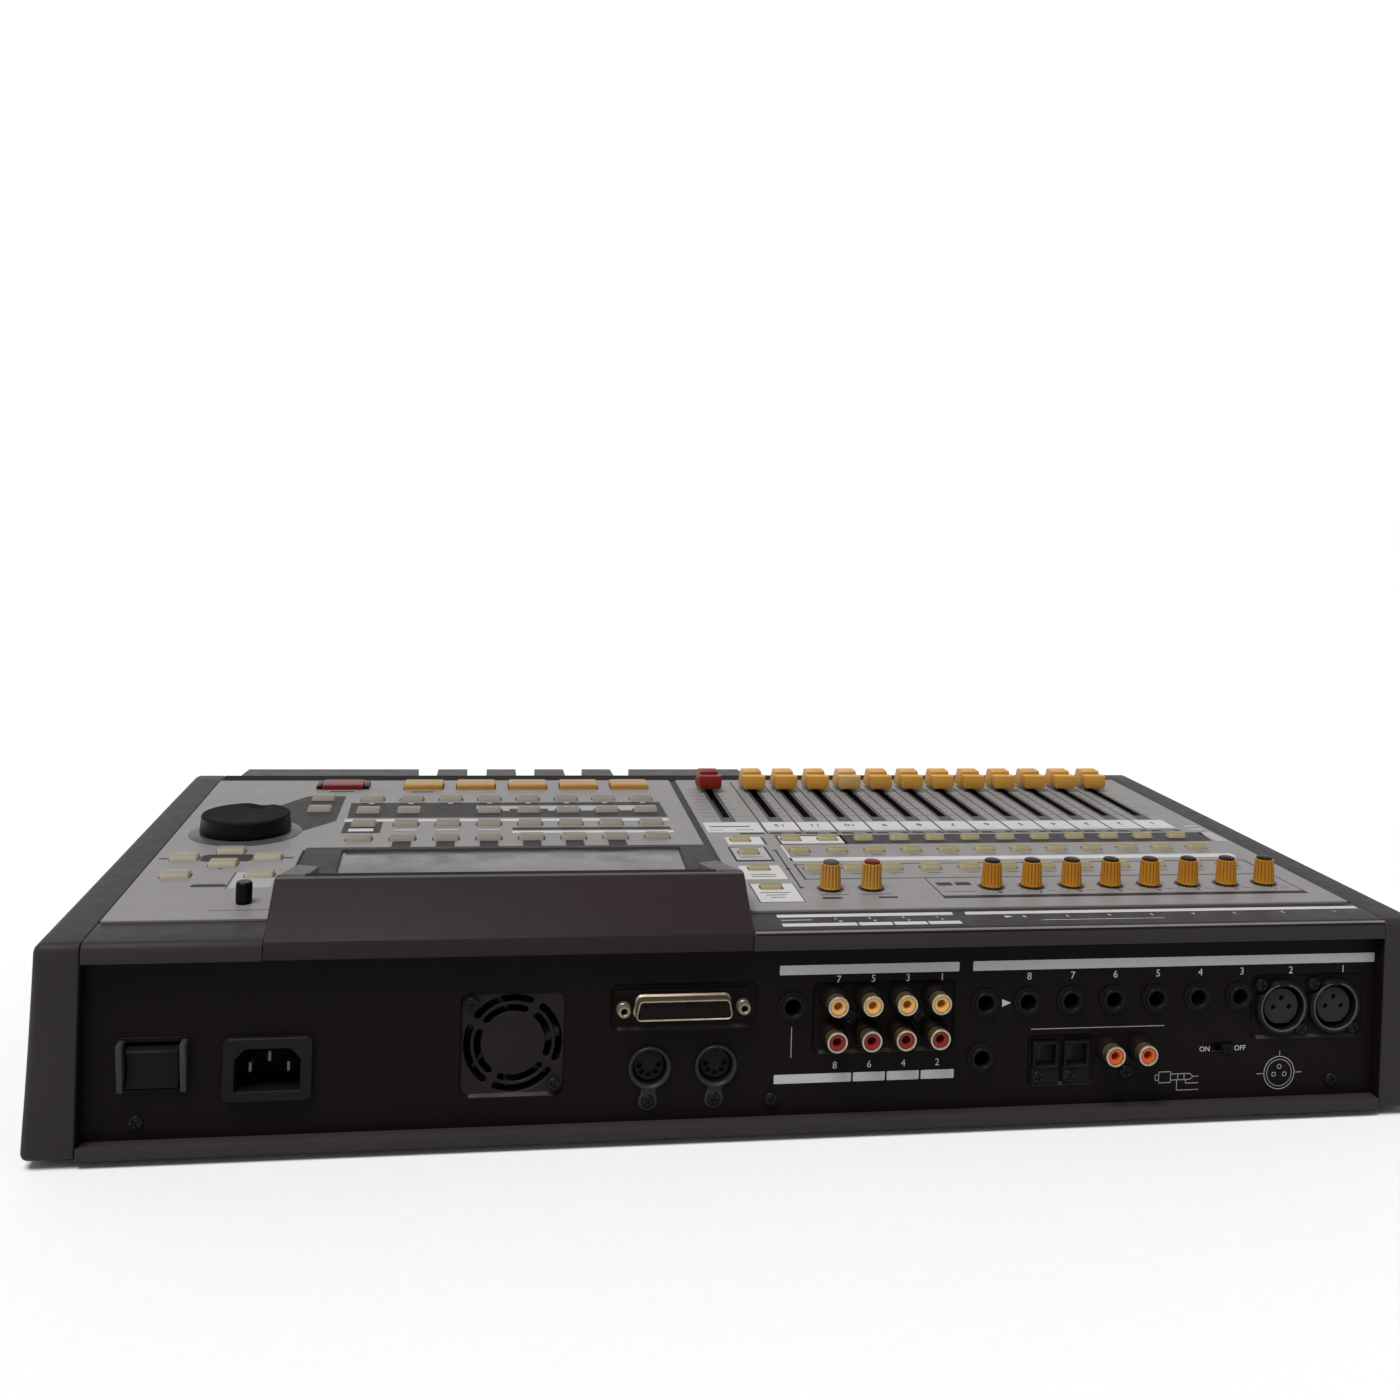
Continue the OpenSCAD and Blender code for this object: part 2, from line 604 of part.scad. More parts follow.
module power_supply() {
  color([0.45, 0.45, 0.42]) union() {
    bar(168, 250, 40, 126, base_z + 6, base_z + 7.6);
    bar(172, 206, 86, 122, base_z + 7.5, base_z + 38);
    bar(212, 246, 60, 120, base_z + 7.5, base_z + 30);
    for (y = [50, 68]) translate([186, y, base_z + 7.5]) cylinder(r = 8, h = 30);
    bar(214, 244, 44, 47, base_z + 7.5, base_z + 40);
    for (x = [172, 246], y = [44, 122]) translate([x, y, base_z + 2]) cylinder(r = 2.5, h = 5);
  }
}

module hard_disk() {
  color([0.55, 0.56, 0.58]) union() {
    bar(24, 125.6, -148, -40, base_z + 6, base_z + 31);
    for (x = [30, 119.6], y = [-140, -50]) translate([x, y, base_z + 2]) cylinder(r = 4, h = 5);
    bar(40, 110, -40.5, -36, base_z + 8, base_z + 16);
  }
}

module potentiometers() {
  // slide potentiometers hung under the mixer panel
  color(metal) for (x = concat(strips, [master_x])) difference() {
    bar(x - 4, x + 4, fader_slot[0] - 6, fader_slot[1] + 6, 68, panel_b - 2.4);
    bar(x - 1.6, x + 1.6, fader_slot[0], fader_slot[1], 71, 100);
  }
  // rotary potentiometers and the dial's encoder on the panel board
  color(metal) for (p = concat([for (x = concat(sens, level_x)) [x, knob_y, 4.8, 3.3]],
      [[dial_p[0], dial_p[1], 8, 3.3], [contrast_p[0], contrast_p[1], 4.5, 2.7]]))
    difference() {
      bar(p[0] - p[2], p[0] + p[2], p[1] - 5, p[1] + 5, deck_z - 6.9, deck_z - 3.3);
      translate([p[0], p[1], 60]) cylinder(r = p[3], h = 40);
    }
}

module feet() {
  color([0.08, 0.08, 0.08]) for (x = [-222, 222], y = [-128, 132])
    translate([x, y, 0]) cylinder(r = 9, h = foot_h);
}

module screw_rear(p) {
  union() {
    translate([p[0], yp, p[1]]) rotate([-90, 0, 0]) difference() {
      cylinder(r = 2.8, h = 1.3);
      translate([-2, -0.35, 0.7]) cube([4, 0.7, 2]);
      translate([-0.35, -2, 0.7]) cube([0.7, 4, 2]);
    }
    ycyl(p[0], p[1], 1.3, yp - plate_t + 0.05, yp + 0.2);
  }
}

module screws() {
  color([0.10, 0.10, 0.10]) {
    for (p = plate_screws) screw_rear(p);
    for (p = fan_screws) screw_rear(p);
    for (p = din_screws) screw_rear(p);
    for (p = rca_screws) screw_rear(p);
    for (p = xlr_screws) screw_rear(p);
    for (p = opt_screws) screw_rear(p);
    // hexagonal jackscrews of the D socket
    for (s = [-1, 1]) difference() {
      union() {
        ycyl(dsub_p[0] + 23.52 * s, dsub_p[1], 2.7, yp + 1.2, yp + 6, 6);
        ycyl(dsub_p[0] + 23.52 * s, dsub_p[1], 1.3, yp - 6, yp + 2);
      }
      ycyl(dsub_p[0] + 23.52 * s, dsub_p[1], 1.2, yp + 2.4, yp + 9);
    }
    for (p = base_screws) translate([p[0], p[1], base_z]) {
      translate([0, 0, -1.2]) cylinder(r = 3, h = 1.2);
      translate([0, 0, -0.2]) cylinder(r = 1.4, h = 4);
    }
  }
}

// ================= controls =================
cap_z = panel_z + 2;
module fader(x, c) {
  color(c) translate([x, fader_y, 0]) union() {
    side_extrude(-6.4, 6.4) polygon([[8, cap_z], [8.2, cap_z + 6.6], [7.6, cap_z + 7.2], [2.6, cap_z + 7.2], [2.2, cap_z + 6.7],
      [1.8, cap_z + 8.6], [-7.6, cap_z + 8.6], [-8.6, cap_z + 7.4], [-8.8, cap_z]]);
    bar(-0.6, 0.6, -2.5, 2.5, 73, cap_z + 0.5);
  }
}

module flutes(n, r, d, h) {
  for (i = [0:n - 1]) rotate(i * 360 / n) translate([r, 0, -1]) cylinder(r = d, h = h + 2, $fn = 16);
}

module knob(x, c) {
  color(c) translate([x, knob_y, 0]) union() {
    difference() {
      translate([0, 0, panel_z + 0.6]) cylinder(r1 = knob_r, r2 = knob_r - 0.6, h = knob_h - 0.6);
      translate([0, 0, panel_z + 1.4]) flutes(16, knob_r - 0.05, 0.7, knob_h);
      translate([-0.5, 1, panel_z + knob_h - 0.5]) cube([1, 9, 2]);
    }
    translate([0, 0, deck_z - 6]) cylinder(r = 2.9, h = panel_z - deck_z + 7);
  }
}

module contrast_knob() {
  color([0.05, 0.05, 0.05]) translate([contrast_p[0], contrast_p[1], 0]) union() {
    translate([0, 0, panel_z + 0.5]) cylinder(r = 3.2, h = 7.6);
    translate([0, 0, panel_z + 8.1]) cylinder(r1 = 3.2, r2 = 2.6, h = 0.6);
    translate([0, 0, deck_z - 6]) cylinder(r = 2.3, h = panel_z - deck_z + 7);
  }
}

dial_z = panel_z + 1.5;
module jog_dial() {
  color([0.08, 0.08, 0.08]) translate([dial_p[0], dial_p[1], 0]) difference() {
    union() {
      translate([0, 0, dial_z]) cylinder(r = dial_r, h = 6.6, $fn = 96);
      translate([0, 0, dial_z + 6.6]) cylinder(r1 = dial_r, r2 = dial_r - 1.2, h = 1.2, $fn = 96);
      translate([0, 0, deck_z - 6]) cylinder(r = 2.9, h = dial_z - deck_z + 7);
    }
    translate([-3, -13.4, dial_z + 12.6]) sphere(r = 7);
  }
}

module keys(list, w, d, c, h = key_h) {
  color(c) for (p = list) bar(p[0] - w / 2, p[0] + w / 2, p[1] - d / 2, p[1] + d / 2, panel_b - 0.6, panel_z + h);
}

module rec_key() { keys([rec_p], 21.5, 14.5, red); }
module transport_keys() { keys([for (x = trans_x) [x, trans_y]], 20.5, 14.5, amber); }
module locator_keys() { keys(locators, key_w, key_d, ivory, small_key_h); }
module function_keys() { keys(functions, key_w, key_d, ivory, small_key_h); }
module cursor_keys() { keys(cursors, key_w, key_d, ivory, small_key_h); }
module channel_keys() { keys(channels, ch_w, ch_d, ivory, small_key_h); }
module monitor_keys() { keys(monitors, ch_w, ch_d, ivory, small_key_h); }

bottom_cover();
left_cheek();
right_cheek();
top_frame();
transport_panel();
mixer_panel();
display_housing();
display_window();
lcd_module();
rear_panel();
ac_inlet();
switch_bodies();
fan_frame();
dsub_socket();
din_sockets();
phone_jacks();
rca_sockets();
optical_ports();
xlr_sockets();
circuit_boards();
power_supply();
hard_disk();
potentiometers();
feet();
screws();
fader(strips[0], amber);  // fader_1
fader(strips[1], amber);  // fader_2
fader(strips[2], amber);  // fader_3
fader(strips[3], amber);  // fader_4
fader(strips[4], amber);  // fader_5
fader(strips[5], amber);  // fader_6
fader(strips[6], amber);  // fader_7
fader(strips[7], amber);  // fader_8
fader(strips[8], amber);  // fader_9
fader(strips[9], amber);  // fader_10
fader(strips[10], amber);  // fader_11
fader(strips[11], amber);  // fader_12
fader(master_x, red);  // master_fader
knob(sens[0], amber);  // sens_knob_1
knob(sens[1], amber);  // sens_knob_2
knob(sens[2], amber);  // sens_knob_3
knob(sens[3], amber);  // sens_knob_4
knob(sens[4], amber);  // sens_knob_5
knob(sens[5], amber);  // sens_knob_6
knob(sens[6], amber);  // sens_knob_7
knob(sens[7], amber);  // sens_knob_8
knob(level_x[0], amber);  // monitor_knob
knob(level_x[1], amber);  // phones_knob
contrast_knob();
jog_dial();
fan_rotor();
power_rocker();
phantom_slider();
rec_key();
transport_keys();
locator_keys();
function_keys();
cursor_keys();
channel_keys();
monitor_keys();
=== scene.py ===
import json
import math

import bmesh
import bpy
from mathutils import Matrix, Vector
from mathutils.geometry import tessellate_polygon

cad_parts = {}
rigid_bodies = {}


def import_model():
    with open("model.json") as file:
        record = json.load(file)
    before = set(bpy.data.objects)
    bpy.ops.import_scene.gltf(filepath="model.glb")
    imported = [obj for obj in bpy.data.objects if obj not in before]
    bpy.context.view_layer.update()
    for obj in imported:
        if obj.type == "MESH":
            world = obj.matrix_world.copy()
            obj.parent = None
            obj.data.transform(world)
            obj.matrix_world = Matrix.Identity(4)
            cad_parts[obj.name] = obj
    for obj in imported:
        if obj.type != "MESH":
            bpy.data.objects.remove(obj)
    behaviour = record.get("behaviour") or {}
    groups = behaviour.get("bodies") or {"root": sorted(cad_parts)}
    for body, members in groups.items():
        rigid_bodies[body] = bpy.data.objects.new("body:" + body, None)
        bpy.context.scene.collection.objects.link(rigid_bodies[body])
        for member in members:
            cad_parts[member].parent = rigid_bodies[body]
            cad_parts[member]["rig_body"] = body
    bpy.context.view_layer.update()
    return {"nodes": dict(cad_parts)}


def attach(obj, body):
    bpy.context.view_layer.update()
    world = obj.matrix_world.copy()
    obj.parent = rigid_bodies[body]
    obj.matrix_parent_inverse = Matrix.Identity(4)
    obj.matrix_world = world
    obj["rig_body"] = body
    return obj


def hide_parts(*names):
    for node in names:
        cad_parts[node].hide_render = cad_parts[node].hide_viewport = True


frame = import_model()
cad = frame["nodes"]

# ---------------------------------------------------------------- places, in millimetres, as in the CAD
S = 0.001
HALF_W, CHEEK_X, IN_X = 277.98, 259.1, 258.7
FRONT, TIP, YR, YP = -166.5, 166.5, 163.5, 157.4
BASE, LIP, BAND, DECK, PANEL = 3.0, 7.6, 75.0, 82.5, 83.5
P_HALF, P_FRONT, P_REAR = 258.2, -101.0, 139.3
STRIPS = [-32.2 - 18.19 * i for i in range(12)]
MASTER = -7.6
SENS = [-105 - 18.35 * i for i in range(8)]
LEVEL = [-32.5, -50.69]
KNOB_Y = 111.5
DIAL = (226.5, 9.5)
CONTRAST = (209.0, 119.7)
COL = [173.1 - 20.1 * i for i in range(8)]
TRANS = [(148.3 - 28.05 * i, -85.7) for i in range(5)]
REC = (191.0, -85.7)
ROW = [-55.2, -29.7, -3.2, 23.8]
LOCATORS = [(x, ROW[0]) for x in COL] + [(COL[i], ROW[1]) for i in (0, 1, 3, 4, 5, 6, 7)] + [(x, ROW[2]) for x in COL] + [(198.0, -57.0), (197.4, -33.0)]
FUNCTIONS = [(x, ROW[3]) for x in COL]
CURSORS = [(226.8, 43.9), (244.8, 54.5), (209.3, 54.5), (226.8, 64.2), (243.0, 81.1), (208.8, 81.1)]
CHANNELS = [(x, y) for y in (30.1, 50.9, 81.3) for x in STRIPS]
MONITORS = [(-7.2, y) for y in (30.5, 53.4, 79.6, 108.2)]
AC, SWITCH, FAN, DSUB, PHANTOM = (192.5, 33.0), (233.6, 35.2), (102.0, 39.0), (36.5, 52.4), (-190.5, 28.5)
DIN = [(48.9, 28.4), (22.8, 28.4)]
JACKS = [(-7.2, 50.8), (-86.7, 50.4), (-85.8, 28.0)] + [(-104.6 - 18.47 * i, 50.4) for i in range(6)]
PHONO = [(-23.9 - 14 * i, 53.2 - 14 * k) for i in range(4) for k in (0, 1)]
COAX = [(-139.9, 30.0), (-153.9, 30.0)]
OPTICAL = [(-113.4, 28.2), (-126.6, 28.2)]
XLR = [(-216.5, 45.3), (-240.2, 45.3)]
PLATE_SCREWS = [(239.3, 14.0), (0.2, 14.1), (-240.2, 14.0)]
FAN_SCREWS = [(FAN[0] + 16 * s, FAN[1] + 16 * s) for s in (-1, 1)]
DIN_SCREWS = [(p[0] + 0.4, 15.2) for p in DIN]
PHONO_SCREWS = [(-30.9, 46.2), (-58.9, 46.2), (-148.2, 20.2)]
XLR_SCREWS = [(p[0] + 9.2 * s, p[1] + 9.2 * s) for p in XLR for s in (-1, 1)]
OPT_SCREWS = [(p[0] + 3, 19.2) for p in OPTICAL]


def lin(r, g, b):
    f = lambda c: c / 12.92 if c <= 0.04045 else ((c + 0.055) / 1.055) ** 2.4
    return tuple(f(c / 255) for c in (r, g, b))


# ---------------------------------------------------------------- materials
def surface(name, color, rough=0.5, var=0.035, cloud=22, grain=2600, bump=0.12, depth=0.00008, speck=0.05, metal=0.0,
            rough_var=0.04, wear=None, coat=0.0, spec=0.5, stretch=None, trans=0.0, ior=1.5):
    m = bpy.data.materials.new(name)
    m.use_nodes = True
    nt = m.node_tree
    bs = next(n for n in nt.nodes if n.type == "BSDF_PRINCIPLED")
    new, link = nt.nodes.new, nt.links.new
    co = new("ShaderNodeTexCoord").outputs["Object"]
    if stretch:
        mp = new("ShaderNodeMapping")
        mp.inputs["Scale"].default_value = stretch
        link(co, mp.inputs["Vector"])
        fine = mp.outputs["Vector"]
    else:
        fine = co

    def noise(vec, scale, detail=3.0):
        n = new("ShaderNodeTexNoise")
        n.inputs["Scale"].default_value = scale
        n.inputs["Detail"].default_value = detail
        link(vec, n.inputs["Vector"])
        return n.outputs["Fac"]

    def ramp(fac, a, b, p0=0.3, p1=0.7):
        r = new("ShaderNodeValToRGB")
        r.color_ramp.elements[0].position, r.color_ramp.elements[1].position = p0, p1
        r.color_ramp.elements[0].color, r.color_ramp.elements[1].color = (*a, 1), (*b, 1)
        link(fac, r.inputs["Fac"])
        return r.outputs["Color"]

    def mix(fac, a, b, mode="MIX", f=1.0):
        n = new("ShaderNodeMix")
        n.data_type, n.blend_type = "RGBA", mode
        n.inputs[0].default_value = f
        if fac is not None:
            link(fac, n.inputs[0])
        link(a, n.inputs[6])
        if isinstance(b, tuple):
            n.inputs[7].default_value = (*b, 1)
        else:
            link(b, n.inputs[7])
        return n.outputs[2]

    lo, hi = tuple(c * (1 - var) for c in color), tuple(min(1, c * (1 + var)) for c in color)
    col = ramp(noise(co, cloud, 4), lo, hi)
    if speck:
        col = mix(None, col, ramp(noise(fine, grain * 0.45, 2), (1 - speck,) * 3, (1 + speck,) * 3), "MULTIPLY")
    if wear:
        scuff = ramp(noise(fine, 380, 6), (0, 0, 0), (1, 1, 1), 0.62, 0.80)
        scuff = mix(None, scuff, ramp(noise(co, 60, 3), (0, 0, 0), (1, 1, 1), 0.4, 0.65), "MULTIPLY")
        col = mix(scuff, col, wear)
    link(col, bs.inputs["Base Color"])
    mr = new("ShaderNodeMapRange")
    mr.inputs["From Min"].default_value, mr.inputs["From Max"].default_value = 0.3, 0.7
    mr.inputs["To Min"].default_value, mr.inputs["To Max"].default_value = max(0.02, rough - rough_var), min(1, rough + rough_var)
    link(noise(fine, cloud * 6, 5), mr.inputs["Value"])
    link(mr.outputs[0], bs.inputs["Roughness"])
    bp = new("ShaderNodeBump")
    bp.inputs["Strength"].default_value, bp.inputs["Distance"].default_value = bump, depth
    link(noise(fine, grain, 3), bp.inputs["Height"])
    link(bp.outputs["Normal"], bs.inputs["Normal"])
    bs.inputs["Metallic"].default_value = metal
    bs.inputs["Specular IOR Level"].default_value = spec
    bs.inputs["IOR"].default_value = ior
    bs.inputs["Coat Weight"].default_value = coat
    bs.inputs["Transmission Weight"].default_value = trans
    return m


dark = surface("dark_moulding", (0.02542, 0.02148, 0.02198), rough=0.5, grain=3600, bump=0.35, depth=0.00012, spec=0.1)
tray = surface("tray_paint", (0.028, 0.0235, 0.0235), rough=0.52, grain=3000, bump=0.3, spec=0.1)
light = surface("panel_paint", (0.172, 0.163, 0.160), rough=0.46, var=0.045, cloud=14, grain=3200, bump=0.1, speck=0.03, spec=0.12)
hood_m = surface("hood_moulding", (0.0196, 0.01264, 0.01296), rough=0.5, grain=3600, bump=0.4, depth=0.00012, spec=0.1)
# a lighter copy of the hood plastic: painted light on the hood's shoulders and rim bead
hood_lit_m = surface("hood_shoulder_painted_light", (0.0675, 0.0625, 0.0625), rough=0.5, grain=3600, bump=0.35, depth=0.00012, spec=0.12)
bezel_m = surface("display_bezel", (0.01575, 0.01395, 0.01727), rough=0.42, grain=3600, bump=0.2, spec=0.06)
window_m = surface("display_acrylic", (0.04717, 0.03588, 0.0364), rough=0.2, var=0.045, cloud=9, grain=900, bump=0.02, depth=0.00003, speck=0.03, rough_var=0.1, trans=0.15, spec=0.14, ior=1.49)
lcd_m = surface("display_module", (0.20, 0.22, 0.19), rough=0.4, cloud=60, grain=4000, bump=0.05)
steel_b = surface("rear_plate_paint", (0.0066, 0.0047, 0.0045), rough=0.5, var=0.06, grain=3200, bump=0.2, depth=0.0001, speck=0.06, spec=0.04)
black = surface("black_moulding", (0.0072, 0.0056, 0.0054), rough=0.42, var=0.12, grain=3600, bump=0.25, wear=(0.014, 0.012, 0.0115), spec=0.07)
black_s = surface("black_satin", (0.0085, 0.0068, 0.0066), rough=0.38, var=0.1, grain=3000, bump=0.2, wear=(0.016, 0.0135, 0.013), spec=0.12)
hole_m = surface("hole_black", (0.003, 0.003, 0.003), rough=0.7, bump=0.1, spec=0.1)
dial_top = surface("dial_top", (0.0125, 0.0104, 0.0108), rough=0.42, var=0.08, grain=2600, bump=0.25, wear=(0.02, 0.018, 0.0185), spec=0.002)
dial_side = surface("dial_side", (0.0042, 0.0032, 0.0032), rough=0.34, var=0.1, grain=2600, bump=0.15, spec=0.12)
ring_m = surface("dial_ring", (0.05432, 0.05205, 0.05281), rough=0.34, var=0.08, cloud=40, grain=1400, bump=0.12, metal=0.15, stretch=(0.2, 1, 1), spec=0.12)
shell_m = surface("plated_shell", (0.40, 0.335, 0.25), rough=0.4, var=0.12, cloud=90, grain=1600, bump=0.15, metal=0.8, speck=0.08, rough_var=0.12)
phono_m = surface("phono_plating", (0.4256, 0.3686, 0.2812), rough=0.36, var=0.12, cloud=120, grain=1600, bump=0.12, metal=0.72, speck=0.1, rough_var=0.12)
pin_m = surface("blade_metal", (0.096, 0.093, 0.084), rough=0.35, var=0.1, cloud=120, metal=0.7)
yellow_i = surface("insert_yellow", (0.60, 0.32, 0.085), rough=0.4, var=0.08, cloud=90, grain=2000, spec=0.3)
red_i = surface("insert_red", (0.165, 0.0095, 0.009), rough=0.4, var=0.1, cloud=90, grain=2000, spec=0.25)
orange_i = surface("insert_orange", (0.48, 0.076, 0.008), rough=0.38, var=0.08, cloud=90, grain=2000, spec=0.3)
board_m = surface("board_green", (0.02, 0.11, 0.05), rough=0.4, cloud=60, grain=900, bump=0.2)
supply_m = surface("supply_parts", (0.16, 0.15, 0.12), rough=0.5, cloud=80, grain=900, bump=0.2)
disk_m = surface("disk_alloy", (0.5, 0.5, 0.52), rough=0.35, cloud=40, grain=1200, bump=0.2, metal=0.9)
pot_m = surface("pot_metal", (0.5, 0.49, 0.46), rough=0.35, cloud=70, grain=1400, bump=0.15, metal=0.9)
rubber = surface("foot_rubber", (0.015, 0.015, 0.015), rough=0.75, grain=1600, bump=0.4, spec=0.3)
screw_m = surface("screw_black", (0.0085, 0.007, 0.0067), rough=0.36, var=0.15, cloud=200, grain=2200, bump=0.15, metal=0.1, wear=(0.013, 0.011, 0.0105), spec=0.1)
amber = surface("amber_plastic", (0.475, 0.238, 0.041), rough=0.42, var=0.06, cloud=60, grain=3000, bump=0.15, speck=0.04, wear=(0.52, 0.29, 0.08), spec=0.2)
amber_pale = surface("amber_faded", (0.48, 0.285, 0.10), rough=0.42, var=0.06, cloud=60, grain=3000, bump=0.15, speck=0.04, wear=(0.52, 0.33, 0.14), spec=0.2)
amber_k = surface("knob_amber", (0.387, 0.161, 0.01313), rough=0.42, var=0.07, cloud=70, grain=3000, bump=0.15, speck=0.05, wear=(0.47, 0.21, 0.03), spec=0.2)
amber_l = surface("level_amber", (0.39, 0.195, 0.036), rough=0.44, var=0.07, cloud=70, grain=3000, bump=0.15, speck=0.05, wear=(0.43, 0.24, 0.06), spec=0.2)
red = surface("red_plastic", (0.176, 0.0138, 0.009), rough=0.4, var=0.07, cloud=60, grain=3000, bump=0.15, speck=0.04, wear=(0.26, 0.022, 0.017), spec=0.15)
cap_grey = surface("cap_grey", (0.050, 0.048, 0.038), rough=0.45, cloud=200, grain=3000, bump=0.15, spec=0.08)
cap_brown = surface("cap_brown", (0.014, 0.0092, 0.0084), rough=0.4, cloud=200, grain=3000, bump=0.15, wear=(0.022, 0.016, 0.014), spec=0.08)
ivory = surface("key_ivory", (0.172, 0.148, 0.085), rough=0.38, var=0.05, cloud=50, grain=2600, bump=0.1, speck=0.03, wear=(0.195, 0.172, 0.11), spec=0.12)
ivory_g = surface("key_ivory_grey", (0.139, 0.126, 0.106), rough=0.38, var=0.05, cloud=50, grain=2600, bump=0.1, speck=0.03, wear=(0.16, 0.147, 0.125), spec=0.12)
ink_dark = surface("ink_dark", (0.031, 0.028, 0.0288), rough=0.5, var=0.06, grain=3200, bump=0.1, spec=0.05)
ink_line = surface("ink_line", (0.022, 0.0195, 0.0198), rough=0.5, var=0.06, grain=3200, bump=0.1, spec=0.05)
ink_white = surface("ink_white", (0.40, 0.392, 0.386), rough=0.5, var=0.05, grain=3200, bump=0.08, spec=0.1)
ink_grey = surface("ink_grey", (0.27, 0.264, 0.26), rough=0.5, var=0.05, grain=3200, bump=0.08, spec=0.1)
slot_grey = surface("slot_bezel", (0.042, 0.0395, 0.041), rough=0.42, grain=3200, bump=0.15, spec=0.06)
ink_rear = surface("ink_rear", (0.40, 0.39, 0.385), rough=0.5, var=0.05, grain=3200, bump=0.08, spec=0.1)
amber_key = surface("amber_key", (0.2448, 0.1517, 0.04224), rough=0.36, var=0.05, cloud=60, grain=3000, bump=0.1, speck=0.03, wear=(0.36, 0.24, 0.09), spec=0.2)
# a lighter copy of the plate paint for the pressed fan area: painted light
grille_lit_m = surface("fan_grille_painted_light", (0.01517, 0.01189, 0.01173), rough=0.5, var=0.06, grain=3200, bump=0.2, speck=0.06, spec=0.06)
socket_m = surface("socket_rim", (0.0225, 0.01988, 0.01912), rough=0.42, var=0.06, grain=3000, bump=0.2, spec=0.15)
# the key side colours here are brighter copies of the key-top colours they pair with: painted light on the shaded key
# sides
ivory_g_side_lit = surface("key_grey_side_painted_light", (0.31, 0.28, 0.235), rough=0.4, var=0.05, cloud=50, grain=2600, bump=0.1, speck=0.03, spec=0.1)
ivory_c = surface("key_cream", (0.199, 0.177, 0.137), rough=0.38, var=0.05, cloud=50, grain=2600, bump=0.1, speck=0.03, wear=(0.22, 0.2, 0.16), spec=0.12)
ivory_c_side_lit = surface("key_cream_side_painted_light", (0.43, 0.385, 0.295), rough=0.4, var=0.05, cloud=50, grain=2600, bump=0.1, speck=0.03, spec=0.1)
ivory_side_lit = surface("key_ivory_side_painted_light", (0.38, 0.328, 0.188), rough=0.4, var=0.05, cloud=50, grain=2600, bump=0.1, speck=0.03, spec=0.1)
amber_side_lit = surface("amber_key_side_painted_light", (0.3612, 0.1584, 0.0299), rough=0.4, var=0.05, cloud=60, grain=3000, bump=0.1, speck=0.03, spec=0.1)
red_side_lit = surface("record_red_side_painted_light", (0.135, 0.011, 0.010), rough=0.4, var=0.06, cloud=60, grain=3000, bump=0.1, speck=0.03, spec=0.06)
red_cap = surface("knob_cap_red", (0.10, 0.009, 0.009), rough=0.42, var=0.06, cloud=90, grain=3000, bump=0.12, speck=0.04, spec=0.08)
# painted highlight along the deck's rear top edge
deck_highlight_m = surface("painted_edge_highlight", (0.165, 0.154, 0.152), rough=0.45, var=0.1, cloud=60, grain=2400, bump=0.15, speck=0.06, spec=0.15)
# painted highlight for the lower lips of the rear recesses
recess_highlight_m = surface("recess_edge_highlight", (0.033, 0.027, 0.0248), rough=0.5, var=0.25, cloud=120, grain=2400, bump=0.2, speck=0.1, spec=0.08)
nut_m = surface("jackscrew_plating", (0.21, 0.172, 0.13), rough=0.4, var=0.12, cloud=120, grain=1600, bump=0.15, metal=0.7, speck=0.08, rough_var=0.1)
ink_wire = surface("ink_wire", (0.27, 0.262, 0.258), rough=0.5, var=0.06, grain=3200, bump=0.08, spec=0.06)
# painted shade for the deck's front border
front_shade_m = surface("front_band_shade", (0.0148, 0.0122, 0.0113), rough=0.5, grain=3600, bump=0.3, depth=0.00012, spec=0.004)
red_key = surface("record_red", (0.1012, 0.01104, 0.01104), rough=0.32, var=0.07, cloud=60, grain=3000, bump=0.12, speck=0.04, wear=(0.11, 0.015, 0.014), spec=0.12)
# a darker copy of the knob plastic: painted shade in the flute grooves
amber_groove_shade = surface("knob_groove_painted_shade", (0.24, 0.098, 0.0095), rough=0.5, var=0.07, cloud=70, grain=3000, bump=0.15, speck=0.05, spec=0.08)
black_m = surface("black_matt", (0.01, 0.00816, 0.008), rough=0.45, var=0.1, grain=3400, bump=0.2, wear=(0.018, 0.0155, 0.015), spec=0.06)
insert_b = surface("socket_insert", (0.021, 0.0178, 0.0172), rough=0.42, var=0.1, grain=3000, bump=0.2, wear=(0.028, 0.025, 0.024), spec=0.07)
lip_m = surface("socket_lip", (0.055, 0.051, 0.05), rough=0.4, var=0.1, grain=3000, bump=0.15, spec=0.12)
shell_d = surface("shell_shade", (0.085, 0.064, 0.042), rough=0.42, var=0.12, cloud=90, grain=1600, bump=0.15, metal=0.5, speck=0.08, spec=0.2)
insul_m = surface("socket_insulator", (0.00852, 0.00552, 0.0042), rough=0.5, var=0.1, grain=3000, bump=0.15, spec=0.05)
barrel_m = surface("barrel_plating", (0.105, 0.08, 0.038), rough=0.4, var=0.12, cloud=120, grain=1600, bump=0.12, metal=0.5, speck=0.1, rough_var=0.12, spec=0.2)
guard_m = surface("guard_grey", (0.036, 0.034, 0.0335), rough=0.45, grain=3000, bump=0.2, wear=(0.05, 0.048, 0.047), spec=0.1)

# ---------------------------------------------------------------- mesh tools
REAR = Matrix(((-1, 0, 0, 0), (0, 0, 1, 0), (0, 1, 0, 0), (0, 0, 0, 1)))
SIDE = Matrix(((0, 0, 1, 0), (1, 0, 0, 0), (0, 1, 0, 0), (0, 0, 0, 1)))


def at(x, y, z=0.0):
    return Matrix.Translation((x, y, z))


def rear(x, z, y=YP):
    return Matrix.Translation((x, y, z)) @ REAR


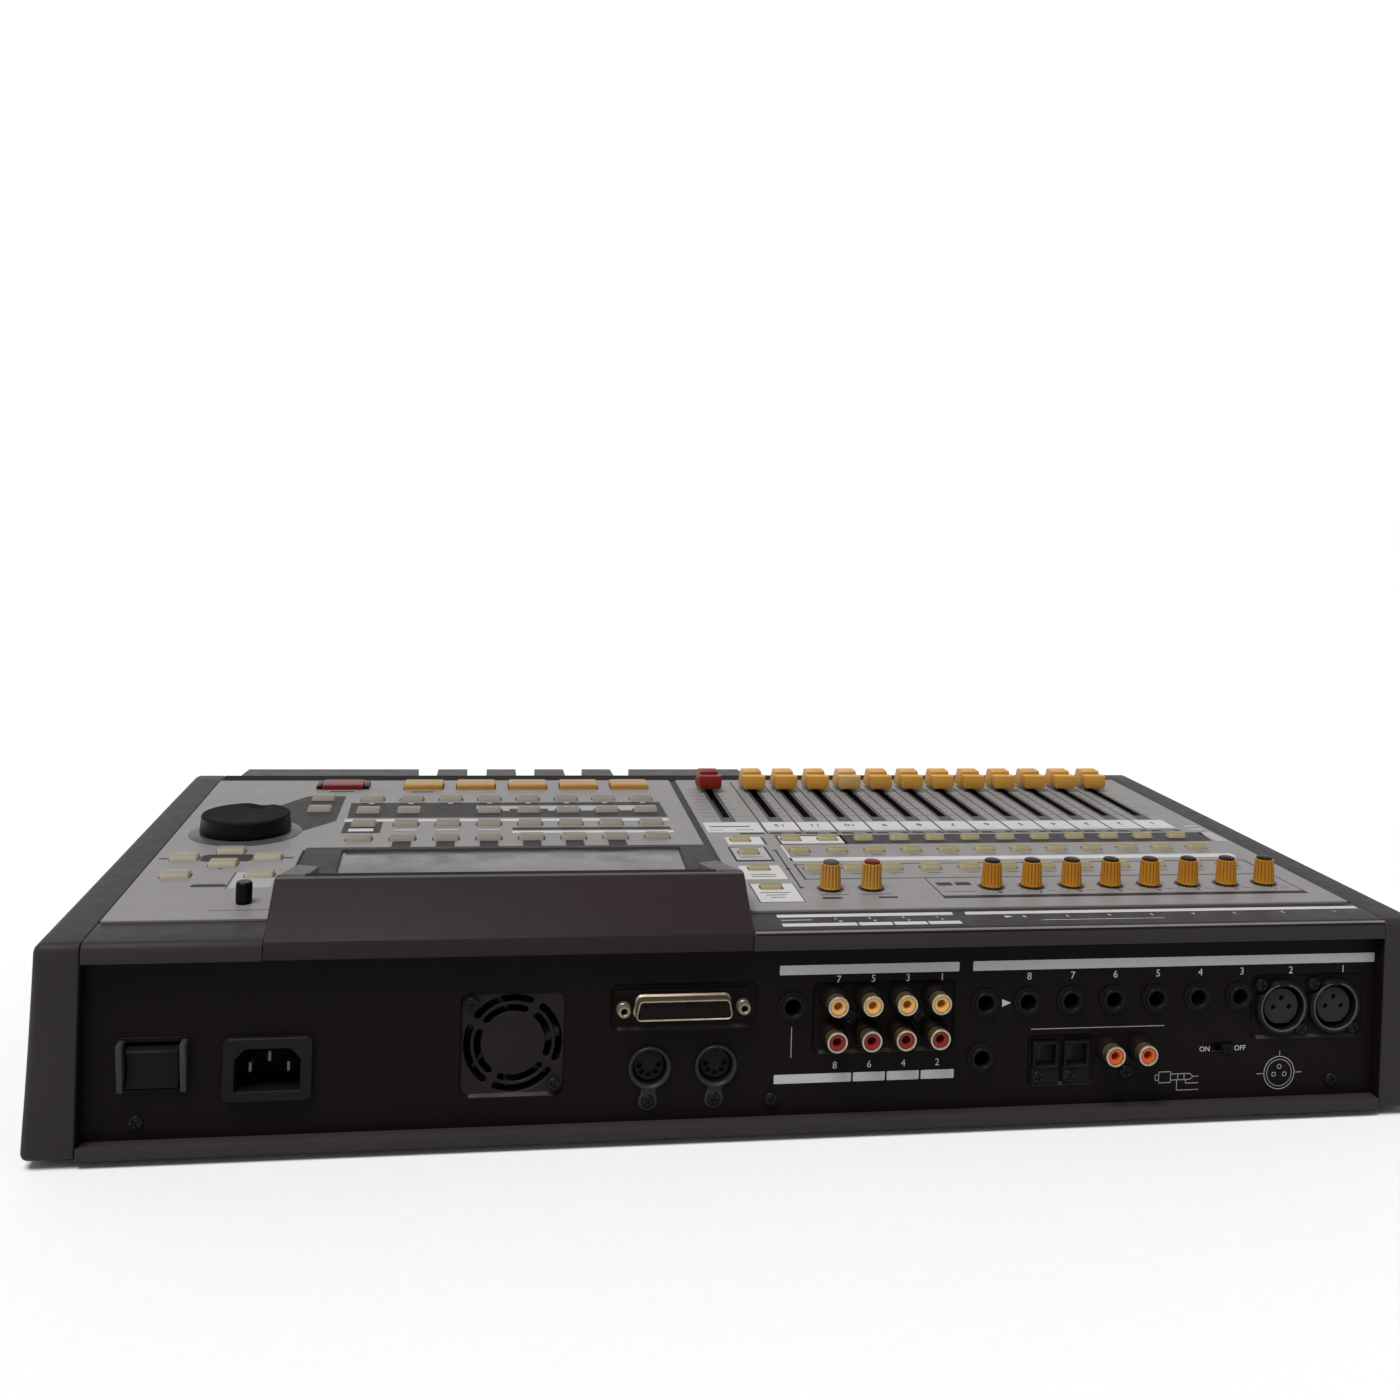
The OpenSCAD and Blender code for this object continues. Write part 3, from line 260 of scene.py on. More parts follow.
def add(bm, verts, faces, mi=0, M=None):
    vs = [bm.verts.new(M @ Vector(v) if M else Vector(v)) for v in verts]
    for f in faces:
        face = bm.faces.new([vs[i] for i in f])
        face.material_index = mi
        face.smooth = True
    return vs


def merge(bm, t, mi, M=None):
    t.verts.index_update()
    add(bm, [v.co.copy() for v in t.verts], [[v.index for v in f.verts] for f in t.faces], mi, M)
    t.free()


def loft(bm, rings, mi=0, M=None, caps=(True, True), closed=False):
    n, k = len(rings[0]), len(rings)
    faces = []
    for a in range(k if closed else k - 1):
        b = (a + 1) % k
        for i in range(n):
            j = (i + 1) % n
            faces.append((a * n + i, a * n + j, b * n + j, b * n + i))
    if not closed:
        if caps[0]:
            faces.append(tuple(range(n))[::-1])
        if caps[1]:
            faces.append(tuple((k - 1) * n + i for i in range(n)))
    add(bm, [p for r in rings for p in r], faces, mi, M)


def tint(bm, first, n, rows, mi, cols=None):
    """Another finish for some rows of the loft that began at face number first."""
    bm.faces.ensure_lookup_table()
    for a in rows:
        for i in cols or range(n):
            bm.faces[first + a * n + i].material_index = mi


def circle(r, n=48, cx=0.0, cy=0.0, a0=0.0):
    return [(cx + r * math.cos(a0 + 2 * math.pi * i / n), cy + r * math.sin(a0 + 2 * math.pi * i / n)) for i in range(n)]


def lift(poly, h):
    return [(p[0], p[1], h) for p in poly]


def lathe(bm, prof, n=48, mi=0, M=None, closed=False):
    loft(bm, [lift(circle(max(r, 0.02), n), h) for r, h in prof], mi, M, closed=closed)


def rr(w, d, r, n=4, cx=0.0, cy=0.0):
    r = max(0.01, min(r, w / 2 - 0.001, d / 2 - 0.001))
    out = []
    for sx, sy, a in ((1, 1, 0), (-1, 1, 90), (-1, -1, 180), (1, -1, 270)):
        for i in range(n + 1):
            t = math.radians(a + 90 * i / n)
            out.append((cx + sx * (w / 2 - r) + r * math.cos(t), cy + sy * (d / 2 - r) + r * math.sin(t)))
    return out


def rect(x0, x1, y0, y1):
    return [(x0, y0), (x1, y0), (x1, y1), (x0, y1)]


def ccw(poly):
    a = sum(p[0] * q[1] - q[0] * p[1] for p, q in zip(poly, poly[1:] + poly[:1]))
    return list(poly) if a > 0 else list(poly)[::-1]


def offset(poly, d):
    if abs(d) < 1e-9:
        return list(poly)
    out, n = [], len(poly)
    for i in range(n):
        p, q, r = Vector(poly[i - 1][:2]), Vector(poly[i][:2]), Vector(poly[(i + 1) % n][:2])
        a, b = (q - p).normalized(), (r - q).normalized()
        na, nb = Vector((a.y, -a.x)), Vector((b.y, -b.x))
        k = 1 + na.dot(nb)
        out.append(tuple(q + (na + nb) * (d / max(k, 0.2))))
    return out


def soft_poly(pts, radii, n=5):
    out, k = [], len(pts)
    for i in range(k):
        p, q, r = Vector(pts[i - 1]), Vector(pts[i]), Vector(pts[(i + 1) % k])
        rad = radii[i] if isinstance(radii, (list, tuple)) else radii
        if rad <= 0:
            out.append(tuple(q))
            continue
        a, b = (p - q).normalized(), (r - q).normalized()
        half = math.acos(max(-1, min(1, a.dot(b)))) / 2
        t = rad / math.tan(half)
        c = q + (a + b).normalized() * (rad / math.sin(half))
        s, e = q + a * t, q + b * t
        a0, a1 = math.atan2(s.y - c.y, s.x - c.x), math.atan2(e.y - c.y, e.x - c.x)
        da = (a1 - a0 + math.pi) % (2 * math.pi) - math.pi
        for j in range(n + 1):
            w = a0 + da * j / n
            out.append((c.x + rad * math.cos(w), c.y + rad * math.sin(w)))
    return out


def sheet(bm, outer, holes, h0, h1, c=0.2, hole_c=0.2, mi=0, M=None):
    """A flat plate with holes. Its upper edges are chamfered by c, and each hole's by hole_c or by its own number."""
    outer = ccw(outer)
    loops = [(outer, -c)]
    for h in holes:
        hc = hole_c
        if isinstance(h, dict):
            h, hc = h["loop"], h["c"]
        loops.append((ccw(h), hc))
    verts, faces, bottom, top = [], [], [], []
    for poly, d in loops:
        b0 = len(verts)
        n = len(poly)
        verts += lift(poly, h0)
        rings = [b0]
        if abs(d) > 1e-9:
            rings.append(len(verts))
            verts += lift(poly, h1 - abs(d))
        rings.append(len(verts))
        verts += lift(offset(poly, d), h1)
        for a, b in zip(rings, rings[1:]):
            for i in range(n):
                j = (i + 1) % n
                faces.append((a + i, a + j, b + j, b + i))
        bottom.append([b0 + i for i in range(n)])
        top.append([rings[-1] + i for i in range(n)])
    for group, flip in ((bottom, True), (top, False)):
        flat = [i for loop in group for i in loop]
        for t in tessellate_polygon([[Vector(verts[i]) for i in loop] for loop in group]):
            f = [flat[k] for k in t]
            if len(set(f)) == 3:
                faces.append(tuple(f[::-1]) if flip else tuple(f))
    add(bm, verts, faces, mi, M)


def bevelled(bm, verts, faces, r, seg=2, mi=0, M=None, angle=25):
    t = bmesh.new()
    vs = [t.verts.new(v) for v in verts]
    for f in faces:
        t.faces.new([vs[i] for i in f])
    bmesh.ops.recalc_face_normals(t, faces=t.faces)
    if r > 0:
        edges = [e for e in t.edges if e.calc_face_angle(0) > math.radians(angle)]
        bmesh.ops.bevel(t, geom=edges, offset=r, segments=seg, profile=0.5, affect="EDGES", clamp_overlap=True)
    merge(bm, t, mi, M)


def prism(bm, poly, h0, h1, r=0.2, seg=2, mi=0, M=None, angle=25):
    n = len(poly)
    faces = [tuple(range(n))[::-1], tuple(range(n, 2 * n))] + [(i, (i + 1) % n, n + (i + 1) % n, n + i) for i in range(n)]
    bevelled(bm, lift(poly, h0) + lift(poly, h1), faces, r, seg, mi, M, angle)


def box(bm, x0, x1, y0, y1, z0, z1, r=0.3, seg=2, mi=0, M=None):
    prism(bm, rect(x0, x1, y0, y1), z0, z1, r, seg, mi, M)


def text(bm, s, size, M, mi=0, depth=0.06):
    cu = bpy.data.curves.new("digits", "FONT")
    cu.body, cu.size, cu.align_x, cu.align_y, cu.extrude, cu.resolution_u = s, size, "CENTER", "CENTER", depth / 2, 3
    ob = bpy.data.objects.new("digits", cu)
    bpy.context.scene.collection.objects.link(ob)
    dg = bpy.context.evaluated_depsgraph_get()
    me = bpy.data.meshes.new_from_object(ob.evaluated_get(dg))
    t = bmesh.new()
    t.from_mesh(me)
    bmesh.ops.remove_doubles(t, verts=t.verts, dist=1e-5)
    merge(bm, t, mi, M)
    bpy.data.objects.remove(ob)
    bpy.data.curves.remove(cu)
    bpy.data.meshes.remove(me)


def piece(name, bm, mats, body="chassis", stands_for=(), sharp=32):
    bmesh.ops.recalc_face_normals(bm, faces=bm.faces)
    for v in bm.verts:
        v.co *= S
    me = bpy.data.meshes.new(name)
    bm.to_mesh(me)
    bm.free()
    for m in mats if isinstance(mats, (list, tuple)) else [mats]:
        me.materials.append(m)
    me.set_sharp_from_angle(angle=math.radians(sharp))
    ob = bpy.data.objects.new(name, me)
    bpy.context.scene.collection.objects.link(ob)
    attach(ob, body)
    if stands_for:
        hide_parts(*([stands_for] if isinstance(stands_for, str) else stands_for))
    return ob


def softened(node, mat, r, seg=2, angle=35):
    """A copy of a CAD solid with its sharp edges rounded by r millimetres."""
    bm = bmesh.new()
    bm.from_mesh(cad[node].data)
    for key in list(bm.loops.layers.float_vector.keys()):
        bm.loops.layers.float_vector.remove(bm.loops.layers.float_vector[key])
    bmesh.ops.remove_doubles(bm, verts=bm.verts, dist=2e-6)
    bmesh.ops.dissolve_limit(bm, angle_limit=math.radians(0.5), verts=bm.verts, edges=bm.edges)
    bmesh.ops.recalc_face_normals(bm, faces=bm.faces)
    edges = [e for e in bm.edges if len(e.link_faces) == 2 and e.calc_face_angle(0) > math.radians(angle)]
    bmesh.ops.bevel(bm, geom=edges, offset=r * S, segments=seg, profile=0.5, affect="EDGES", clamp_overlap=True)
    for f in bm.faces:
        f.smooth = True
        f.material_index = 0
    for v in bm.verts:
        v.co /= S
    return piece(node + "_shape", bm, mat, cad[node]["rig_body"], node)


def dress(node, mat):
    o = cad[node]
    o.data.materials.clear()
    o.data.materials.append(mat)


def xbox(bm, poly, x0, x1, r=0.3, seg=2, mi=0, angle=25):
    """A (y, z) outline run along X."""
    prism(bm, poly, x0, x1, r, seg, mi, SIDE, angle)


# ---------------------------------------------------------------- cheeks
def side_profile():
    nose_r, nc = 15.0, Vector((FRONT + 15.0, 50.0))
    sp = Vector((-118.0, DECK))
    sv = sp - nc
    sa = math.degrees(math.atan2(sv.y, sv.x)) + math.degrees(math.acos(nose_r / sv.length))
    pts = []

    def arc(cx, cz, r, a0, a1, n):
        for i in range(n + 1):
            a = math.radians(a0 + (a1 - a0) * i / n)
            pts.append((cx + r * math.cos(a), cz + r * math.sin(a), math.cos(a), math.sin(a), r * 0.92))

    def line(p, q, n, nx, nz):
        for i in range(1, n):
            t = i / n
            pts.append((p[0] + (q[0] - p[0]) * t, p[1] + (q[1] - p[1]) * t, nx, nz, 99))

    arc(YR - 3.2, BASE + 3.2, 3.2, -90, 0, 5)
    line((YR, BASE + 3.2), (YR, DECK - 3.5), 10, 1, 0)
    arc(YR - 3.5, DECK - 3.5, 3.5, 0, 90, 6)
    line((YR - 3.5, DECK), (sp.x, sp.y), 24, 0, 1)
    n1 = Vector((math.cos(math.radians(sa)), math.sin(math.radians(sa))))
    mid = (Vector((0, 1)) + n1).normalized()
    pts.append((sp.x, sp.y, mid.x, mid.y, 99))
    tp = nc + n1 * nose_r
    line((sp.x, sp.y), (tp.x, tp.y), 6, n1.x, n1.y)
    arc(nc.x, nc.y, nose_r, sa, 180, 10)
    line((FRONT, nc.y), (FRONT, BASE + 6), 8, -1, 0)
    arc(FRONT + 6, BASE + 6, 6, 180, 270, 6)
    line((FRONT + 6, BASE), (YR - 3.2, BASE), 20, 0, -1)
    return pts


def cheek(name, node, sign):
    pts = side_profile()
    n = len(pts)
    rad = [3.6 + 1.4 * max(p[2], 0) ** 2 + 7.5 * max(-p[2], 0) ** 2 for p in pts]
    for _ in range(30):
        rad = [min(pts[i][4], (rad[i - 1] + 2 * rad[i] + rad[(i + 1) % n]) / 4) for i in range(n)]
    tan = 2.6 / 75
    out = [HALF_W - tan * max(p[1] - 8, 0) for p in pts]
    rings = []
    for x, d in ((CHEEK_X, 0.7), (CHEEK_X + 0.12, 0.3), (CHEEK_X + 0.35, 0.08), (CHEEK_X + 0.7, 0.0)):
        rings.append([(sign * x, p[0] - p[2] * d, p[1] - p[3] * d) for p in pts])
    for k in range(9):
        a = math.radians(90 * k / 8)
        rings.append([(sign * (o - r * (1 - math.sin(a))), p[0] - p[2] * r * (1 - math.cos(a)), p[1] - p[3] * r * (1 - math.cos(a)))
                      for p, r, o in zip(pts, rad, out)])
    bm = bmesh.new()
    loft(bm, rings)
    return piece(name, bm, dark, "chassis", node, sharp=40)


cheek("cheek_right", "right_cheek", 1)
cheek("cheek_left", "left_cheek", -1)

# ---------------------------------------------------------------- case
softened("top_frame", dark, 0.55, seg=3)
softened("bottom_cover", tray, 0.5, seg=2)

bm = bmesh.new()
for x in (-222, 222):
    for y in (-128, 132):
        lathe(bm, [(0, 0.3), (6.2, 0.3), (6.6, 0), (8.3, 0), (8.8, 0.25), (9, 0.7), (9, 2.4), (8.7, 3), (0, 3)], 40, 0, at(x, y))
piece("feet_rubber", bm, rubber, "chassis", "feet")

# ---------------------------------------------------------------- panels
GAP = 0.4


def key_loop(p, w, d, r=1.0, g=GAP):
    return rr(w + 2 * g, d + 2 * g, r, 3, p[0], p[1])


T_HOLES = [key_loop(p, 11.8, 7) for p in LOCATORS + FUNCTIONS + CURSORS]
T_HOLES += [key_loop(p, 20.5, 14.5, 0.8) for p in TRANS] + [key_loop(REC, 21.5, 14.5, 0.8)]
T_HOLES += [circle(3.0, 28, *CONTRAST), circle(4.0, 32, *DIAL)]
SLOT0, SLOT1 = -79.6, -13.4
M_HOLES = [key_loop(p, 9.2, 5.6) for p in CHANNELS + MONITORS]
M_HOLES += [rr(4.0, SLOT1 - SLOT0, 0.5, 3, x, (SLOT0 + SLOT1) / 2) for x in STRIPS + [MASTER]]
M_HOLES += [circle(3.6, 28, x, KNOB_Y) for x in SENS + LEVEL]

bm = bmesh.new()
outline = soft_poly([(11.5, P_FRONT), (P_HALF, P_FRONT), (P_HALF, P_REAR), (196, P_REAR), (196, 40.7), (11.5, 40.7)], [0.6, 0.6, 0.6, 0.6, 0, 0.6], 3)
sheet(bm, outline, T_HOLES, 81.5, PANEL, 0.35, 0.22)
piece("transport_sheet", bm, light, "chassis", "transport_panel")
bm = bmesh.new()
outline = soft_poly([(-257.2, P_FRONT), (7.9, P_FRONT), (7.9, P_REAR), (-257.2, P_REAR)], [0.6, 0.6, 3.0, 0.6], 5)
sheet(bm, outline, M_HOLES, 81.5, PANEL, 0.35, 0.22)
piece("mixer_sheet", bm, light, "chassis", "mixer_panel")


# ---------------------------------------------------------------- printing on the deck
def inside(p, poly):
    c, n = False, len(poly)
    for i in range(n):
        a, b = poly[i], poly[(i + 1) % n]
        if (a[1] > p[1]) != (b[1] > p[1]) and p[0] < (b[0] - a[0]) * (p[1] - a[1]) / (b[1] - a[1]) + a[0]:
            c = not c
    return c


def ink(bm, poly, holes=(), level=0, mi=0, z=PANEL):
    poly = ccw(poly)
    cut = []
    for h in holes:
        g = offset(ccw(h), 0.25)
        k = sum(inside(p, poly) for p in g)
        if k == len(g):
            cut.append(g)
        elif k:
            raise ValueError("a printed shape crosses a hole at %.1f %.1f" % h[0])
    sheet(bm, poly, cut, z - 0.04, z + 0.03 + 0.03 * level, 0, 0, mi)


def stroke(bm, p, q, w, holes=(), level=0, mi=0, z=PANEL):
    d = (Vector(q) - Vector(p)).normalized()
    n = Vector((-d.y, d.x)) * (w / 2)
    a, b = Vector(p), Vector(q)
    ink(bm, [tuple(a + n), tuple(b + n), tuple(b - n), tuple(a - n)], holes, level, mi, z)


def frame_line(bm, x0, x1, y0, y1, w, level=0, mi=0, z=PANEL):
    sheet(bm, rect(x0, x1, y0, y1), [rect(x0 + w, x1 - w, y0 + w, y1 - w)], z - 0.04, z + 0.03 + 0.03 * level, 0, 0, mi)


INKS = [ink_dark, ink_white, ink_line, ink_grey, slot_grey, hole_m]
bm = bmesh.new()
# dark shape from the dial to the two keys beside it
ink(bm, soft_poly([(234.0, -14.0), (206.6, -64.0), (187.4, -63.0), (187.2, -10.7), (201.0, 8.5), (214.0, 9.0)], [0, 5, 0.8, 2.5, 0, 0]), T_HOLES)
# band round the second row of keys, with a light field in its right part
ink(bm, [(183.4, -48.0), (23.3, -48.0), (22.4, -15.6), (182.4, -16.6)], T_HOLES)
ink(bm, soft_poly([(119.6, -40.6), (28.6, -40.6), (28.2, -34.0), (119.2, -34.0)], [0.8, 0.8, 0, 0]), T_HOLES, 1, 3)
for x0, x1 in ((COL[4] + 9.8, COL[3] - 6.8), (COL[5] + 6.8, COL[4] - 9.8), (COL[6] + 6.8, COL[5] - 6.8), (COL[7] + 6.8, COL[6] - 6.8)):
    ink(bm, rect(x0, x1, -34.1, -29.8), (), 1, 3)
for x in COL:
    ink(bm, rect(x - 1.3, x + 1.3, -47.2, -45.9), (), 2, 1)
# white bar under the band, along the third row of keys
ink(bm, [(183.2, -13.6), (22.6, -12.4), (22.6, -8.4), (183.0, -9.6)], (), 0, 1)
# frame and tab at the first key of the third row
ink(bm, soft_poly(rect(164.4, 182.5, -8.3, 13.0), 0.9), T_HOLES)
ink(bm, soft_poly(rect(167.8, 179.6, 4.4, 9.6), 0.6), (), 1, 1)
# band and white line under the right half of the third row
ink(bm, [(101.4, 4.1), (24.2, 4.1), (23.4, 9.4), (101.8, 9.0)], ())
ink(bm, [(101.8, 10.4), (22.9, 11.2), (23.2, 15.2), (101.8, 14.2)], (), 0, 1)
for x in (COL[1], COL[2], COL[3]):
    stroke(bm, (x - 5.4, 7.2), (x + 5.4, 7.2), 1.3, (), 0, 1)
# tabs that join the fourth row to the display
for x in COL[1:7]:
    ink(bm, soft_poly([(x - 4.2, 28.3), (x + 4.2, 28.3), (x + 4.4, 40.3), (x - 4.4, 40.3)], 0.3), ())
stroke(bm, (195.0, 40.1), (12.2, 40.1), 0.8)
# cursor cross
ink(bm, [(min(238.0, max(216.1, 226.8 + 12.6 * math.cos(t * math.pi / 20))), min(59.8, max(48.3, 54.0 + 8.0 * math.sin(t * math.pi / 20)))) for t in range(40)], ())
for x in (253.6, 200.6):
    ink(bm, [(x + 2.2 * math.cos(t * math.pi / 10), 54.5 + 1.0 * math.sin(t * math.pi / 10)) for t in range(20)], ())
for y in (38.4, 70.0):
    s = 1 if y > 50 else -1
    ink(bm, [(225.6, y), (228.0, y), (226.8, y + 1.6 * s)])
# label field and slot near the contrast knob
ink(bm, [(219.0, 76.6), (201.9, 76.6), (201.9, 99.0), (218.6, 99.8)], T_HOLES, 0, 3)
stroke(bm, (219.3, 76.4), (219.7, 100.4), 0.5, (), 0, 2)
ink(bm, soft_poly([(233.6, 93.6), (220.6, 93.6), (219.6, 97.6), (234.6, 97.6)], 1.2), (), 0, 2)
ink(bm, soft_poly([(232.2, 94.5), (222.0, 94.5), (221.4, 96.6), (232.8, 96.6)], 0.6), (), 1, 0)
stroke(bm, (220.5, 129.0), (197.8, 129.0), 0.45, (), 0, 2)
# lamps under the record key and the first transport key
for x, y in ((190.7, -73.9), (148.6, -72.6)):
    ink(bm, rr(12.4, 2.0, 0.9, 4, x, y), (), 0, 2)
    ink(bm, rr(11.2, 1.2, 0.55, 4, x, y), (), 1, 0)
for x in [p[0] for p in TRANS[1:]]:
    stroke(bm, (x - 4.2, -73.2), (x + 4.2, -73.2), 0.9, (), 0, 3)
piece("transport_printing", bm, INKS, "chassis")

bm = bmesh.new()
# strip lines, fader bezels and scales
for i in range(13):
    x = -23.1 - 18.19 * i
    if i < 12:
        stroke(bm, (x, -94.5), (x, 20.0), 0.75, (), 0, 2)
for x in STRIPS + [MASTER]:
    ink(bm, rr(7.6, 83.6, 0.8, 4, x, -46.4), M_HOLES, 0, 4)
    for k in range(9):
        y = -76.0 + 60.0 * k / 8
        long = k in (0, 6, 8)
        stroke(bm, (x - 4.6, y), (x - (8.0 if long else 6.6), y), 0.42, (), 0, 2)
        if x == MASTER or long:
            stroke(bm, (x + 4.6, y), (x + (12.0 if x == MASTER else 8.4), y), 0.42, (), 0, 2)
for x in STRIPS + [MASTER]:
    sheet(bm, rr(3.98, SLOT1 - SLOT0 - 0.04, 0.5, 3, x, (SLOT0 + SLOT1) / 2), [rr(3.5, SLOT1 - SLOT0 - 0.8, 0.3, 3, x, (SLOT0 + SLOT1) / 2)], 77.5, PANEL + 0.05, 0, 0, 5)
    for sx in (-1, 1):
        box(bm, *sorted((x + sx * 0.85, x + sx * 5.0)), SLOT0 - 2, SLOT1 + 2, 77.2, 77.8, 0, 1, 5)
# number fields
ink(bm, rect(-22.0, 6.3, -3.3, 16.0), (), 0, 1)
for i, x in enumerate(STRIPS):
    ink(bm, rect(x - 8.5, x + 8.5, -3.2, 13.2), (), 0, 1)
    text(bm, str(12 - i), 6.2, at(x, 3.4, PANEL + 0.09), 2)
    stroke(bm, (x - 3.0, 9.6), (x + 3.0, 9.6), 0.5, (), 1, 3)
    ink(bm, soft_poly(rect(x - 8.2, x + 8.2, 16.6, 20.4), 0.5), (), 0, 0)
    stroke(bm, (x - 4.6, 18.5), (x + 2.0, 18.5), 0.8, (), 1, 3)
for k, (x0, x1) in enumerate(((-2.0, 4.6), (-17.4, -8.4))):
    stroke(bm, (x0, 11.6), (x1, 11.6), 0.7, (), 1, 2)
stroke(bm, (-16.6, 5.0), (4.0, 5.0), 1.6, (), 1, 2)
ink(bm, soft_poly(rect(-21.6, -9.0, 17.4, 20.2), 0.6), (), 0, 0)
# first row of channel keys
ink(bm, [(-58.2, 22.6), (-249.6, 22.6), (-247.2, 39.6), (-57.6, 39.6)], M_HOLES)
ink(bm, rect(-58.8, -25.4, 22.6, 39.6), M_HOLES, 0, 0)
ink(bm, soft_poly(rect(-57.4, -26.6, 24.6, 38.2), 0.6), M_HOLES, 1, 1)
# second row: white field edge and line
stroke(bm, (-25.3, 41.0), (-25.0, 68.6), 0.9, (), 0, 1)
ink(bm, rect(-244.5, -24.6, 62.6, 68.4), (), 0, 1)
for x in STRIPS:
    stroke(bm, (x - 3.4, 58.6), (x + 3.4, 58.6), 0.55, (), 0, 2)
    stroke(bm, (x - 3.2, 89.0), (x + 3.2, 89.0), 0.55, (), 0, 2)
# third row: outlined box
frame_line(bm, -245.0, -24.3, 73.6, 97.4, 0.9, 0, 2)
# monitor keys
ink(bm, rect(-17.6, -0.2, 25.4, 39.0), M_HOLES, 0, 1)
stroke(bm, (-18.6, 25.4), (-18.6, 38.6), 0.9, (), 0, 2)
ink(bm, rect(-17.0, 1.2, 43.4, 68.0), M_HOLES, 0, 2)
ink(bm, rect(-15.9, 0.1, 44.4, 65.6), M_HOLES, 1, 3)
ink(bm, rect(-17.2, 1.6, 75.0, 96.2), M_HOLES, 0, 1)
ink(bm, rect(-18.0, 1.6, 102.4, 129.4), M_HOLES, 0, 2)
ink(bm, rect(-17.5, 1.1, 102.9, 128.9), M_HOLES, 1, 1)
for y in (61.0, 89.0, 92.0, 116.0, 119.4, 122.6):
    w = 5.5 if y < 100 else (6.5, 4.4, 3.0)[int((y - 116) // 3.2)]
    stroke(bm, (-7.4 - w, y), (-7.4 + w, y), 0.7, (), 2, 2)
stroke(bm, (-20.8, 50.0), (-20.0, 109.4), 0.8, (), 0, 2)
for y in (50.0, 81.0, 109.4):
    ink(bm, circle(1.1, 16, -20.4, y), (), 0, 2)
# level knobs and the sensitivity box
# painted shadow: a dark ring on the panel round each knob's foot stands for its contact shadow
for x in LEVEL + SENS:
    sheet(bm, circle(5.8, 40, x, KNOB_Y), [circle(4.0, 40, x, KNOB_Y)], PANEL - 0.04, PANEL + 0.03, 0, 0, 2)
for x in LEVEL + SENS:
    for k in range(11):
        a = math.radians(-60 + 30 * k)
        p = Vector((x, KNOB_Y)) + 6.4 * Vector((math.sin(a + math.pi), math.cos(a + math.pi))) * -1
        ink(bm, circle(0.34, 8, p.x, p.y), (), 0, 2)
for x0, x1 in ((-34.6, -26.2), (-58.8, -50.6)):
    ink(bm, rect(x0, x1, 123.4, 125.6), (), 0, 2)
for x in LEVEL:
    stroke(bm, (x - 6.4, 119.9), (x + 6.4, 119.9), 0.6, (), 0, 2)
stroke(bm, (-79.0, 97.4), (-79.0, 127.2), 0.6, (), 0, 2)
stroke(bm, (-245.2, 97.4), (-245.6, 127.2), 0.6, (), 0, 2)
ink(bm, rect(-246.0, -78.7, 123.4, 127.2), (), 0, 2)
for i, x in enumerate(SENS):
    text(bm, str(8 - i), 4.0, at(x - 1.2, 119.4, PANEL + 0.05), 2)
    stroke(bm, (x - 8.4, 117.9), (x - 4.6, 117.9), 0.4, (), 0, 2)
for x0, x1 in ((-88.6, -81.4), (-97.0, -90.0)):
    ink(bm, rr(x1 - x0, 4.6, 0.8, 4, (x0 + x1) / 2, 106.6), (), 0, 2)
stroke(bm, (-96.6, 117.6), (-82.0, 117.6), 0.5, (), 0, 2)
ink(bm, soft_poly(rect(-254.4, -246.8, 8.6, 17.6), 0.6), (), 0, 3)
stroke(bm, (-254.0, 13.0), (-247.2, 13.0), 1.0, (), 1, 2)
ink(bm, [(-247.4, 22.4), (-255.2, 22.4), (-255.6, 40.0), (-249.6, 40.0)], (), 0, 3)
piece("mixer_printing", bm, INKS, "chassis")

# painted shade: a darker band between the panels and the finger rest, standing for the shade on the deck's front border
bm = bmesh.new()
sheet(bm, soft_poly(rect(-257.4, 258.2, -117.4, P_FRONT - 0.3), 0.4), [], DECK - 0.05, DECK + 0.06, 0.05, 0.05)
piece("front_band_shade", bm, front_shade_m, "chassis")

# painted highlight: a light strip along the deck's rear top edge, over the mixer half
bm = bmesh.new()
xbox(bm, [(YR - 0.62, DECK + 0.02), (YR - 0.13, DECK - 0.13), (YR + 0.02, DECK - 0.62), (YR - 0.5, DECK - 0.5)], -258.4, 9.6, 0, 1)
piece("deck_rear_edge", bm, deck_highlight_m, "chassis")

# bars printed on the rear strip of the deck
bm = bmesh.new()
ink(bm, [(-2.6, 142.6), (-76.6, 142.6), (-76.0, 146.2), (-2.4, 146.2)], (), 0, 1, DECK)
ink(bm, [(-82.0, 142.6), (-257.4, 143.2), (-257.4, 146.4), (-81.4, 146.2)], (), 0, 1, DECK)
for x0, x1 in ((-2.6, -33.0), (-33.9, -47.6), (-48.4, -62.0), (-62.8, -76.4)):
    ink(bm, [(x0, 153.8), (x1, 153.8), (x1, 157.4), (x0, 157.4)], (), 0, 1, DECK)
stroke(bm, (-110.8, 154.5), (-164.4, 154.5), 0.4, (), 0, 1, DECK)
stroke(bm, (-3.2, 149.6), (-16.0, 149.6), 0.9, (), 0, 3, DECK)
ink(bm, [(-97.0, 148.2), (-97.0, 150.8), (-100.6, 149.5)], (), 0, 1, DECK)
for i in range(8):
    x = (-105.4, -124.0, -142.5, -161.1, -179.8, -198.3, -220.3, -244.1)[i]
    text(bm, str(8 - i), 3.2, at(x, 149.6, DECK + 0.03), 1)
for i in range(4):
    text(bm, str(7 - 2 * i), 2.8, at(-25.8 - 14.2 * i, 148.4, DECK + 0.03), 1)
    text(bm, str(8 - 2 * i), 2.8, at(-27.2 - 14.2 * i, 151.8, DECK + 0.03), 1)
piece("rear_strip_printing", bm, INKS, "chassis")

